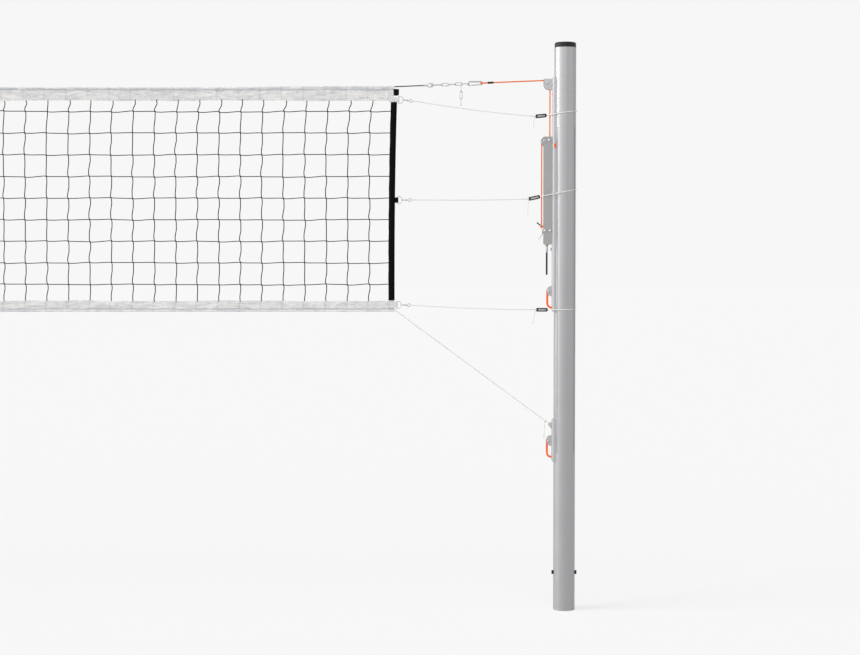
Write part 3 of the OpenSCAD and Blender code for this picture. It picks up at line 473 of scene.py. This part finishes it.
MATERIALS = {
    "post_aluminium": extruded("post_aluminium", (0.355, 0.355, 0.365), 0.36, 0.78),
    "carriage_aluminium": extruded("carriage_aluminium", (0.42, 0.42, 0.43), 0.42, 0.75),
    "housing_aluminium": folded("housing_aluminium", (0.32, 0.32, 0.32), 0.45, 0.55),
    "black_plastic": moulded("black_plastic", (0.008, 0.008, 0.009), 0.42, 0.12, 0.25),
    "bright_steel": polished("bright_steel", (0.40, 0.41, 0.43), 0.28),
    "galvanised_steel": galvanised("galvanised_steel", (0.46, 0.47, 0.49)),
    "bronze": polished("bronze", (0.50, 0.36, 0.16), 0.35, 0.1),
    "orange_plastic": moulded("orange_plastic", (0.85, 0.105, 0.001), 0.38, 0.05),
    "orange_rope": laid("orange_rope", (0.90, 0.16, 0.03), 0.024, 8, 0.25, 0.6),
    "dark_rope": laid("dark_rope", (0.055, 0.026, 0.018), 0.016, 3, 0.4, 0.7),
    "white_cord": laid("white_cord", (0.74, 0.73, 0.70), 0.014, 8, 0.12, 0.5),
    "net_string": laid("net_string", (0.006, 0.004, 0.0035), 0.012, 3, 0.35, 0.5, 0.1),
    "white_tape": canvas("white_tape", (0.68, 0.69, 0.70)),
    "black_tape": woven("black_tape", (0.004, 0.0035, 0.0035), WEAVE, 0.4, 0.06),
    "rod_wood": timber("rod_wood", (0.55, 0.42, 0.22)),
}

for part in frame["record"]["subparts"]:
    data = frame["nodes"][part["node"]].data
    data.materials.clear()
    data.materials.append(MATERIALS[part["material_slot"]])


# ---- routes that the source gives ----

LINE_DX = POST_X + PULLEY[0] - NET_END
LINE_DZ = PULLEY[1] - LINE_Z
LINE_LEN = math.hypot(LINE_DX, LINE_DZ)
LINE_A = math.atan2(LINE_DZ, LINE_DX) + math.asin(WRAP_R / LINE_LEN)
LEFT_A = math.atan2(LINE_DZ, LINE_DX)
LINE_S = math.sqrt(LINE_LEN ** 2 - WRAP_R ** 2)

# the line's fittings, each from the net's end on
CHAIN_S = 214
LINK_PITCH, LINK_LEN, LINK_WIRE = 31.4, 40, 4
CARAB_LEN, CARAB_R = 73, 3.5
SLEEVE_LEN = 26
FERRULE_S, FERRULE_LEN = 134, 18
LOOP_R = 7.2
CARAB_S = CHAIN_S + 3 * LINK_PITCH + LINK_LEN - LINK_WIRE - 2 * CARAB_R - 0.6
LOOP_S = CARAB_S + CARAB_LEN - 2 * CARAB_R - 2 * ROPE_R - 0.8
SLEEVE_END = LOOP_S + 36 + SLEEVE_LEN
FERRULE_END = FERRULE_S + FERRULE_LEN
ANCHOR_R = 6.8

# a side cord's hook in its D-ring, and the cord's own loop in the hook's eye
RING_R, RING_WIRE = 16.5, 1.5
HOOK_RING, HOOK_WIRE = 6.2, 1.9
EYE_S, EYE_RING, EYE_WIRE = 32.5, 7, 1.7
HOOK_IN = RING_R - RING_WIRE - HOOK_WIRE - 0.1 + HOOK_RING
LOOP_IN = 4.3
LOOP_AT = EYE_S + EYE_RING - EYE_WIRE - CORD_R - 0.1 + LOOP_IN
HEM_Z = NET_LOW + 3.5  # the bottom rope inside its band

# the corners that a cord bends round on its way past a carriage or the housing
AT_CARRIAGE = (FACE_X - 2.6, 27.6)
AT_HOUSING = (FACE_X - 42.8, 24.8)


def flip(p, side):
    """A point in the row frame, mirrored for side -1, in metres."""
    return Vector((side * p[0], p[1], p[2])) * MM


def along(s, y=0.0, up=0.0, angle=LINE_A, side=1):
    """Point s along the line from the net's end, in metres."""
    return flip((NET_END + s * math.cos(angle) - up * math.sin(angle), y,
                 LINE_Z + s * math.sin(angle) + up * math.cos(angle)), side)


def cord_frame(i):
    """Matrix from a cord's own line, x along it, to the row frame, in millimetres."""
    start = Vector((NET_END + RING_X[i] + HOOK_IN, 0, RINGS[i]))
    v = Vector((POST_X + ADJ_X[i], ADJ_Y[i], ADJ_Z[i])) - start
    return (Matrix.Translation(start) @ Matrix.Rotation(math.atan2(v.y, v.x), 4, "Z")
            @ Matrix.Rotation(-math.asin(v.z / v.length), 4, "Y")), v.length


def cord_run(i, side):
    """From its loop through a hook's eye to its adjuster."""
    m, reach = cord_frame(i)
    m = m @ Matrix.Translation((LOOP_AT, 0, 0))
    points = [(16, 2.3, 0), (9, 2.4, 0)]
    points += [(x, y, 0) for x, y in arc(LOOP_IN, 60, 300, 16)]
    points += [(9, -2.4, 0), (18, -2.2, 0)]
    end = reach - LOOP_AT - 0.4
    points += [(30 + (end - 30) * t, 0, -4 * SAG[i] * t * (1 - t))
               for t in (k / 16 for k in range(17))]
    return [flip(m @ Vector(p), side) for p in points]


def cord_loop(i, bend, side):
    """From the adjuster past two corners and round the far side of the post."""
    out = Vector((ADJ_X[i] + ADJ_LEN[i] + 1.2, ADJ_Y[i], 0))
    ring = POST_R + CORD_R + 0.8
    turn = 180 - math.degrees(math.atan2(bend[1], -bend[0])
                              + math.acos(ring / math.hypot(*bend)))
    near, far = Vector((bend[0], -bend[1], 0)), Vector((bend[0], bend[1], 0))
    back = out + Vector((0, 2.3, 0))
    first, last = [Vector((ring * math.cos(math.radians(s * turn)),
                           ring * math.sin(math.radians(s * turn)), 0)) for s in (-1, 1)]
    points = [out - Vector((0, 2.3, 0))] + corner(out, near, first)
    points += [Vector((x, y, 0)) for x, y in arc(ring, -turn, turn, 40)]
    if ADJ_Y[i] == 0:
        points += corner(last, far, back)
    else:
        front = Vector((bend[0] - 1, ADJ_Y[i], 0))
        points += corner(last, far, front) + corner(far, front, back)
    points.append(back)
    return [at(p.x, p.y, ADJ_END[i] + (p.x - out.x) * RISE[i], side) for p in points]


def adjuster_point(i, x, z):
    """Point x along and z across adjuster i, which tilts between its two cords."""
    a = math.atan2(ADJ_END[i] - ADJ_Z[i], ADJ_LEN[i])
    return Vector((POST_X + ADJ_X[i] + x * math.cos(a) - z * math.sin(a), ADJ_Y[i],
                   ADJ_Z[i] + x * math.sin(a) + z * math.cos(a)))


hem_out = Vector((NET_END + 3, 0, HEM_Z))
ear = Vector((POST_X + EAR[0], 0, EAR[1]))
low_dir = (ear - hem_out).normalized()
KNOT_AT = 27
KNOT_R = 6.2


def low_point(u, y=0.0):
    """Point u along the bottom rope's line, counted from the carriage's ear."""
    return ear + Vector((0, y, 0)) + u * low_dir


# ---- free cord tails ----

for side, label in ((1, "right"), (-1, "left")):
    for i in range(3):
        out = adjuster_point(i, -0.1, -4.5)
        over = adjuster_point(i, -TAIL_OUT[i], -5.5)
        end = Vector((POST_X + ADJ_X[i] + TAIL[i][0], ADJ_Y[i], ADJ_Z[i] + TAIL[i][1]))
        bend = corner(out, over, end, TAIL_OUT[i] - 1)
        drop = [bend[-1] + (end - bend[-1]) * k / 5 for k in range(1, 6)]
        route = [flip(p, side) for p in [out] + bend + drop]
        shape = Shape()
        shape.tube(route, CORD_R * MM)
        tail = shape.piece(f"{label}_tail_{i + 1}", MATERIALS["white_cord"])
        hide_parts("cord_tails")
    top = low_point(-KNOT_AT) - Vector((0, 0, KNOT_R + 0.1))
    route = [flip(top - Vector(p), side)
             for p in ((0, 0, 0), (3, 0, 12), (4.4, 0, 21), (5, 0, 30), (5.6, 0, 50),
                       (6, 0, 72))]
    shape = Shape()
    shape.tube(route, LOW_R * MM)
    tail = shape.piece(f"{label}_hem_tail", MATERIALS["white_cord"])
    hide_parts("cord_tails")


# ---- cords and ropes that are held at both ends ----

shape = Shape()
for side in (1, -1):
    for i in range(3):
        shape.tube(cord_run(i, side), CORD_R * MM)
        bend = AT_HOUSING if side == 1 and i == 1 else AT_CARRIAGE
        shape.tube(cord_loop(i, bend, side), CORD_R * MM)
        inside = [adjuster_point(i, x, 0.0) for x in (4, 12, 22, 34, ADJ_LEN[i] - 4)]
        shape.tube([flip(p, side) for p in inside], CORD_R * MM)
cords = shape.piece("side_lines", MATERIALS["white_cord"])
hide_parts("side_cords")

shape = Shape()
for side in (1, -1):
    start = Vector((NET_END - 28, 0, HEM_Z))
    route = [start] + corner(start, hem_out, ear, 8)
    route += [low_point(-(hem_out - ear).length + 8 + k * 30) for k in range(1, 18)]
    route += [low_point(-KNOT_AT - 26), low_point(-KNOT_AT - 6, -2.45),
              low_point(-KNOT_AT + 6, -2.45)]
    route += [low_point(-8 + x, y) for x, y in arc(8, -120, 120, 16)]
    route += [low_point(-KNOT_AT + 6, 2.45), low_point(-KNOT_AT, 2.45)]
    shape.tube([flip(p, side) for p in route], LOW_R * MM)
    knot = low_point(-KNOT_AT)
    across = Vector((0, 1, 0))
    over = low_dir.cross(across).normalized()
    turns = []
    for k in range(49):
        t = 2 * math.pi * k / 48
        ring = 4.2 + 0.9 * math.cos(3 * t)
        turns.append(knot + ring * math.cos(2 * t) * across + ring * math.sin(2 * t) * over
                     + 2.6 * math.sin(3 * t) * low_dir)
    shape.tube([flip(p, side) for p in turns], LOW_R * MM)
hem_lines = shape.piece("hem_lines", MATERIALS["white_cord"])
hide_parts("bottom_ropes")

shape = Shape()
right = [along(-30), along(-1)] + [along(FERRULE_END * k / 8) for k in range(1, 9)]
shape.tube(right, DARK_R * MM)
eye = LINE_LEN - ANCHOR_R
left = [along(-30, angle=LEFT_A, side=-1)]
left += [along(eye * k / 24, angle=LEFT_A, side=-1) for k in range(25)]
shape.tube(left, DARK_R * MM)
loop = [along(LINE_LEN + x, up=z, angle=LEFT_A, side=-1)
        for x, z in arc(ANCHOR_R, 185, 540, 24)]
shape.tube(loop, (DARK_R + 0.2) * MM)
dark = shape.piece("dark_lines", MATERIALS["dark_rope"])
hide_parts("top_ropes")

C = LOOP_S + LOOP_R + ROPE_R
HALF = ROPE_R + 0.25
shape = Shape()
route = [along(SLEEVE_END + 4, HALF), along(C + 22, HALF)]
route += [along(C + LOOP_R * math.cos(a), LOOP_R * math.sin(a))
          for a in (math.radians(70 + 11 * k) for k in range(21))]
route += [along(C + 22, -HALF), along(SLEEVE_END + 4, -HALF), along(SLEEVE_END + 30)]
route += [along(SLEEVE_END + 30 + (LINE_S - 36 - SLEEVE_END) * k / 8) for k in range(1, 9)]
wrap = 90 + math.degrees(LINE_A)
route += [at(PULLEY[0] + x, 0, PULLEY[1] + z) for x, z in arc(WRAP_R, wrap, 0, 12)]
route += [at(STRAND_X, 0, z) for z in (NET_TOP, NET_TOP - 100, NET_TOP - 200, ROPE_JOINT_Z)]
shape.tube(route, ROPE_R * MM, 14)
route = [at(LEFT_STRAND_X, 0, ROPE_JOINT_Z)]
route += [at(EXIT[0] + x, 0, EXIT[1] + z) for x, z in arc(EXIT_R, 0, 180, 14)]
route += [at(OUT_X, 0, EXIT[1] - (EXIT[1] - KNOT_Z) * k / 12) for k in range(1, 13)]
shape.tube(route, ROPE_R * MM, 14)
orange = shape.piece("tension_line", MATERIALS["orange_rope"])
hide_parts("tension_rope")

# knot: three turns of the rope over each other, then the lashing to the rod
shape = Shape()
centre = Vector((OUT_X, 0, KNOT_Z - 7.1))
turns = []
for k in range(61):
    t = 2 * math.pi * k / 60
    ring = 3.9 + 0.8 * math.cos(3 * t)
    turns.append(at(*(centre + Vector((ring * math.cos(2 * t), ring * math.sin(2 * t),
                                       3.6 * math.sin(3 * t))))))
shape.tube(turns, ROPE_R * MM)
for lash in (-1.3, 1.3):
    low = Vector((FACE_X - 44, lash, HOOK_Z + 5.8))
    top = Vector((OUT_X, lash, KNOT_Z - 12))
    shape.tube([at(*(top + (low - top) * k / 6)) for k in range(7)], 1.2 * MM, 8)
knot = shape.piece("line_knot", MATERIALS["orange_rope"])
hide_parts("rope_knot")

shape = Shape()
shape.tube([at(OUT_X - 5.5, 0, KNOT_Z - 2.2), at(OUT_X - 10, 0, KNOT_Z + 1.6),
            at(OUT_X - 17, 0, KNOT_Z + 7.4), at(OUT_X - 22, 0, KNOT_Z + 11)], 2.8 * MM)
knot_end = shape.piece("line_end", MATERIALS["black_tape"])
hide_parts("knot_tail")

# the two strands inside the housing, which shorten as the traveller rises
HANG = ROPE_JOINT_Z - TRAVELLER[1]
shape = Shape()
for x in (STRAND_X, LEFT_STRAND_X):
    shape.tube([at(x, 0, ROPE_JOINT_Z - HANG * k / 8) for k in range(9)], ROPE_R * MM)
inner = shape.piece("inner_line", MATERIALS["orange_rope"])
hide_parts("inner_rope")
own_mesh(inner)

# the bight round the traveller's wheel, which moves with it
shape = Shape()
shape.tube([at(TRAVELLER[0] + x, 0, TRAVELLER[1] + z) for x, z in arc(TRAVELLER_R, 0, -180, 12)],
           ROPE_R * MM)
bight = shape.piece("inner_bight", MATERIALS["orange_rope"], "slider")


# ---- net ----

def lean(z):
    """How far the side band stands out at this height."""
    t = (z - MESH_LOW) / (MESH_TOP - MESH_LOW)
    return LEAN * max(0.0, t) ** 2.4


def edge_rise(x):
    """The top band's upper edge lifts a little towards the line at its ends."""
    t = min(1.0, max(0.0, (abs(x) - (NET_END - 900)) / 650))
    return 5.7 * t * t * (3 - 2 * t) - 1.5


STRING_R = 2.15
rows_z = [NET_TOP - 113 - 100 * i for i in range(ROWS)]
jitter = {(c, r): (rng.uniform(-1.6, 1.6), rng.uniform(-2.6, 2.6))
          for c in range(1, COLUMNS) for r in range(ROWS)}


def crossing(c, r):
    """Knot of column c and row r, in millimetres."""
    x = -MESH_HALF + c * PITCH
    z = rows_z[r]
    dx, dz = jitter.get((c, r), (0, 0))
    out = x / NET_END * (8, 2, 0)[min(r, 2)]
    if c in (0, COLUMNS):
        x += math.copysign(0.4 * lean(z), x)
    return Vector((x + dx + out, 0, z + dz))


def swung(a, b):
    """A hanging string between two knots: it leaves right of one and comes in left of the next."""
    swing = rng.uniform(0.8, 4.6)
    late = rng.uniform(0.42, 0.68)
    swings = ((0.1, 0.75), (late - 0.18, 0.8), (late, 0), (late + 0.2, -0.8), (0.92, -0.7))
    return [a] + [a + (b - a) * t + Vector((swing * x, rng.uniform(-0.5, 0.5), 0))
                  for t, x in swings]


shape = Shape()
for c in range(1, COLUMNS):
    x = -MESH_HALF + c * PITCH
    reach = rng.uniform(13, 21) * (x / NET_END)
    line = [Vector((x + reach, 0, MESH_TOP + 14)),
            Vector((x + 0.9 * reach, 0, MESH_TOP + 2))]
    line += [crossing(c, r) for r in range(ROWS)] + [Vector((x, 0, MESH_LOW - 6))]
    fine = line[:1]
    for a, b in zip(line[1:], line[2:]):
        fine += swung(a, b)
    shape.tube([p * MM for p in fine + [line[-1]]], STRING_R * MM, 6)
for r in range(ROWS):
    line = [crossing(c, r) for c in range(COLUMNS + 1)]
    fine = []
    for a, b in zip(line, line[1:]):
        drop = rng.uniform(0.2, 3.2) * (1.5 if r == 0 else 1)
        fine.append(a)
        fine += [a + (b - a) * t + Vector((0, rng.uniform(-0.5, 0.5), drop * z))
                 for t, z in ((0.07, -0.7), (0.3, -0.75), (0.6, -0.1), (0.9, 0.45))]
    shape.tube([p * MM for p in fine + [line[-1]]], STRING_R * MM, 6)
for c in range(1, COLUMNS):
    for r in range(ROWS):
        shape.ball(crossing(c, r) * MM, 3.2 * MM, squash=(1.15, 0.9, 1))
strings = shape.piece("net_strings", MATERIALS["net_string"])
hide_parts("net_mesh")


def ribbon(name, material, sections, body="rig", crown=None):
    """Open sheet through the sections; crown is the height its tape coordinates start from."""
    shape = Shape()
    shape.loft(sections, closed_ends=False)
    m = len(sections[0])
    shape.faces = [f for k, f in enumerate(shape.faces) if k % m != m - 1]
    shape.uvs = [[(v.x, abs(v.z - crown * MM) if crown else 0.0) for v in
                  (shape.verts[i] for i in f)] for f in shape.faces]
    return shape.piece(name, material, body)


def band_profile(edge, crown, sense):
    """Folded tape in Y and Z: open at edge, round the rope at crown; sense is +1 for a top band."""
    near = crown - sense * STITCH_AT
    half = [(-1.5, edge), (-1.9, edge + (near - edge) * 0.12), (-2.6, edge + (near - edge) * 0.32),
            (-1.7, edge + (near - edge) * 0.55), (-2.2, edge + (near - edge) * 0.8), (-1.3, near),
            (-2.6, crown - sense * 9)]
    bow = [(-4.4 * math.cos(a), crown - sense * 4.4 + sense * 4.4 * math.sin(a))
           for a in (math.radians(-30 + 20 * k) for k in range(6))]
    return half + bow + [(0, crown)] + [(-y, z) for y, z in reversed(half + bow)]


def ripple(x):
    """How far a tape stands out of the net's plane at x."""
    wave = 0.8 * math.sin(x / 187) + 0.5 * math.sin(x / 71 + 1)
    return wave * (1 if abs(x) < NET_END - 50 else 0.3)


def band(name, edge, crown, sense):
    """Folded tape along the whole net; its seams are drawn further down."""
    sections = []
    count = 380
    for k in range(count + 1):
        x = -NET_END + 2 * NET_END * k / count
        wave = ripple(x)
        rise = edge_rise(x) if sense > 0 else 0
        sag = 1.6 * math.sin(x / 130 + 2) + 0.9 * math.sin(x / 47)
        sections.append([Vector((x, y + wave, z + rise * (z - edge) / (crown - edge)
                                 + sag * (1 if z == edge else 0))) * MM
                         for y, z in band_profile(edge, crown, sense)])
    piece = ribbon(name, MATERIALS["white_tape"], sections, crown=crown)
    return piece


upper = band("upper_band", *TOP_BAND)
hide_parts("top_tape")
lower = band("lower_band", *LOW_BAND)
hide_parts("bottom_tape")

for side, label in ((1, "right"), (-1, "left")):
    sections = []
    for k in range(47):
        z = MESH_LOW + (MESH_TOP - MESH_LOW) * k / 46
        x = ROD_X + lean(z)
        tuck = 0.5 * math.sin(k * 0.9) + 0.3 * math.sin(k * 2.1)
        half = [(-14.8 + tuck, -1.3), (-11.5, -1.8), (-7, -4.4), (-4, -5.6), (0, -6.1),
                (4, -5.6), (7, -4.2), (10.5, -2.0), (13.4, -1.2)]
        profile = half + [(14.2, 0)] + [(px, -py) for px, py in reversed(half)]
        sections.append([flip((x + px, py, z), side) for px, py in profile])
    piece = ribbon(f"{label}_side_band", MATERIALS["black_tape"], sections)
    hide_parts("side_bands")

    # webbing loop round each D-ring's bar, sewn on the band
    for i, z in enumerate(RINGS):
        tape = "black_tape" if i == 1 else "white_tape"
        back = -26 if i != 1 else -6
        bar = RING_X[i] - RING_BAR
        half = [(back, -4.0), (back + 6, -4.2), (-2, -4.1), (bar - 9, -3.6), (bar - 4, -3.4),
                (bar, -3.2), (bar + 2.6, -2.0)]
        profile = half + [(bar + 3.8, 0)] + [(px, -py) for px, py in reversed(half)]
        shift = lean(z) if i == 1 else 0
        rows = []
        low = 9.8 if i == 0 else 12.6
        for k in range(9):
            dz = -low + (low + 12.6) * k / 8
            soft = 0.5 * math.cos(k * 1.3)
            rows.append([flip((NET_END + px + shift * (1 if px < 6 else 0), py + 0.12 * soft,
                               z + dz), side) for px, py in profile])
        strap = ribbon(f"{label}_strap_{i + 1}", MATERIALS[tape], rows)
        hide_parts("ring_straps")

    # short black tab above the top ring
    shape = Shape()
    outline = [(-4, 20.5), (8, 19.5), (17, 20.5), (20.5, 22), (21.5, 36), (20.8, 50),
               (8, 50.6), (-4, 50)]
    rings = []
    for y, inset in ((-4.6, 1.2), (-4.2, 0.3), (-1.5, 0), (1.5, 0), (4.2, 0.3), (4.6, 1.2)):
        rings.append([flip((NET_END + px * (1 - inset / 20) + inset * 0.3, y,
                            RINGS[0] + 34 + (pz - 34) * (1 - inset / 17)), side)
                      for px, pz in outline])
    shape.loft(rings)
    tab = shape.piece(f"{label}_tab", MATERIALS["black_tape"], smooth=False)

# ---- seams on the tapes ----

shape = Shape()
for edge, crown, sense in (TOP_BAND, LOW_BAND):
    for z in (edge + sense * 5, crown - sense * STITCH_AT):
        for face in (-1, 1):
            x = -NET_END + 6
            while x < NET_END - 6:
                rise = edge_rise(x) * (z - edge) / (crown - edge) if sense > 0 else 0
                p = Vector((x, ripple(x) + face * 1.9, z + rise)) * MM
                step = Vector((3.4, 0, 0)) * MM
                drop = Vector((0, 0, 0.45)) * MM
                n = len(shape.verts)
                shape.verts += [p - drop, p + step - drop, p + step + drop, p + drop]
                shape.face((n, n + 1, n + 2, n + 3))
                x += 5.2
seams = shape.piece("band_seams", MATERIALS["white_cord"], smooth=False)


# ---- height scale on the right post ----

SEGMENTS = {"0": "abcdef", "1": "bc", "2": "abged", "3": "abgcd", "4": "fgbc", "5": "afgcd",
            "6": "afgedc", "7": "abc", "8": "abcdefg", "9": "abcdfg"}
STROKES = {"a": (0, 2, 1, 2), "b": (1, 1, 1, 2), "c": (1, 0, 1, 1), "d": (0, 0, 1, 0),
           "e": (0, 0, 0, 1), "f": (0, 1, 0, 2), "g": (0, 1, 1, 1)}


def digits(shape, text, angle, z, height=3.8):
    """A number on the tube, its centre at that angle from the front."""
    width, space, line = 0.34 * height, 0.6 * height, 0.34 * height
    radius = POST_R + 0.08
    start = -(len(text) * space - (space - width)) / 2
    for k, sign in enumerate(text):
        for s in SEGMENTS[sign]:
            x0, z0, x1, z1 = STROKES[s]
            left = start + k * space
            u0, u1 = left + x0 * width - line / 2, left + x1 * width + line / 2
            v0, v1 = (z0 - 1) * height / 2 - line / 2, (z1 - 1) * height / 2 + line / 2
            n = len(shape.verts)
            for u, v in ((u0, v0), (u1, v0), (u1, v1), (u0, v1)):
                a = math.radians(angle) + u / radius
                shape.verts.append(at(radius * math.sin(a), -radius * math.cos(a), z + v))
            shape.face((n, n + 1, n + 2, n + 3))


ink = Nodes("scale_ink", (0.02, 0.02, 0.022), 0.6)
ink.paint(ink.noise(300, 3), 0.25)
red = Nodes("scale_red", (0.24, 0.075, 0.05), 0.6)
red.paint(red.noise(300, 3), 0.25)
black_marks, red_marks = Shape(), Shape()
for number in SCALE_NUMBERS:
    marks = black_marks if number % 10 else red_marks
    for angle in SCALE_ANGLES:
        digits(marks, str(number), angle, number * 10 - SCALE_DROP)
for shape, name, m in ((black_marks, "scale_numbers", ink), (red_marks, "scale_tens", red)):
    marks = shape.piece(name, m.material, "posts", smooth=False)


# ---- floor, world and lamps ----

PALE = (0.930, 0.930, 0.930)

floor_mesh = bpy.data.meshes.new("floor")
floor_mesh.from_pydata([(-90, -40, 0), (90, -40, 0), (90, 160, 0), (-90, 160, 0)], [],
                       [(0, 1, 2, 3)])
floor = bpy.data.objects.new("floor", floor_mesh)
scene.collection.objects.link(floor)
ground = bpy.data.materials.new("floor")
ground.use_nodes = True
tree = ground.node_tree
surface = tree.nodes["Principled BSDF"]
surface.inputs["Base Color"].default_value = (0.90, 0.90, 0.90, 1)
surface.inputs["Roughness"].default_value = 0.9
surface.inputs["Specular IOR Level"].default_value = 0.0


def seen(tree):
    """1 for rays that show the background: from the camera, a mirror or glass."""
    path = tree.nodes.new("ShaderNodeLightPath")
    total = path.outputs["Is Camera Ray"]
    for ray in ("Is Glossy Ray", "Is Transmission Ray"):
        node = tree.nodes.new("ShaderNodeMath")
        node.operation = "MAXIMUM"
        tree.links.new(total, node.inputs[0])
        tree.links.new(path.outputs[ray], node.inputs[1])
        total = node.outputs[0]
    return total


glow = tree.nodes.new("ShaderNodeEmission")
glow.inputs["Color"].default_value = (1.0, 1.0, 1.0, 1)
share = tree.nodes.new("ShaderNodeMath")
share.operation = "MULTIPLY"
share.inputs[1].default_value = 0.65
tree.links.new(seen(tree), share.inputs[0])
mix = tree.nodes.new("ShaderNodeMixShader")
tree.links.new(share.outputs[0], mix.inputs["Fac"])
tree.links.new(surface.outputs["BSDF"], mix.inputs[1])
tree.links.new(glow.outputs["Emission"], mix.inputs[2])
tree.links.new(mix.outputs["Shader"], tree.nodes["Material Output"].inputs["Surface"])
floor_mesh.materials.append(ground)

world = bpy.data.worlds.new("world")
world.use_nodes = True
scene.world = world
tree = world.node_tree
ambient = tree.nodes["Background"]
ambient.inputs["Color"].default_value = (1.0, 1.0, 1.0, 1)
ambient.inputs["Strength"].default_value = 0.38
backdrop = tree.nodes.new("ShaderNodeBackground")
backdrop.inputs["Color"].default_value = (*PALE, 1)
mix = tree.nodes.new("ShaderNodeMixShader")
tree.links.new(seen(tree), mix.inputs["Fac"])
tree.links.new(ambient.outputs["Background"], mix.inputs[1])
tree.links.new(backdrop.outputs["Background"], mix.inputs[2])
tree.links.new(mix.outputs["Shader"], tree.nodes["World Output"].inputs["Surface"])


def sun(name, direction, strength, spread, colour=(1.0, 1.0, 1.0), shadow=True):
    data = bpy.data.lights.new(name, "SUN")
    data.color = colour
    data.energy = strength
    data.angle = math.radians(spread)
    data.use_shadow = shadow
    obj = bpy.data.objects.new(name, data)
    obj.rotation_euler = Vector(direction).to_track_quat("Z", "Y").to_euler()
    scene.collection.objects.link(obj)


sun("key", (-0.779, -0.253, 0.574), 1.6, 35)
sun("fill", (-0.14, -0.807, 0.574), 0.8, 60)
sun("strip", (-1.0, 0.1, -0.04), 1.9, 50, shadow=False)
sun("side", (-0.82, -0.57, 0.2), 0.45, 50)
sun("glint", (0.85, -0.52, 0.1), 0.3, 60, (1.0, 0.93, 0.87), False)

scene.view_settings.view_transform = "Standard"
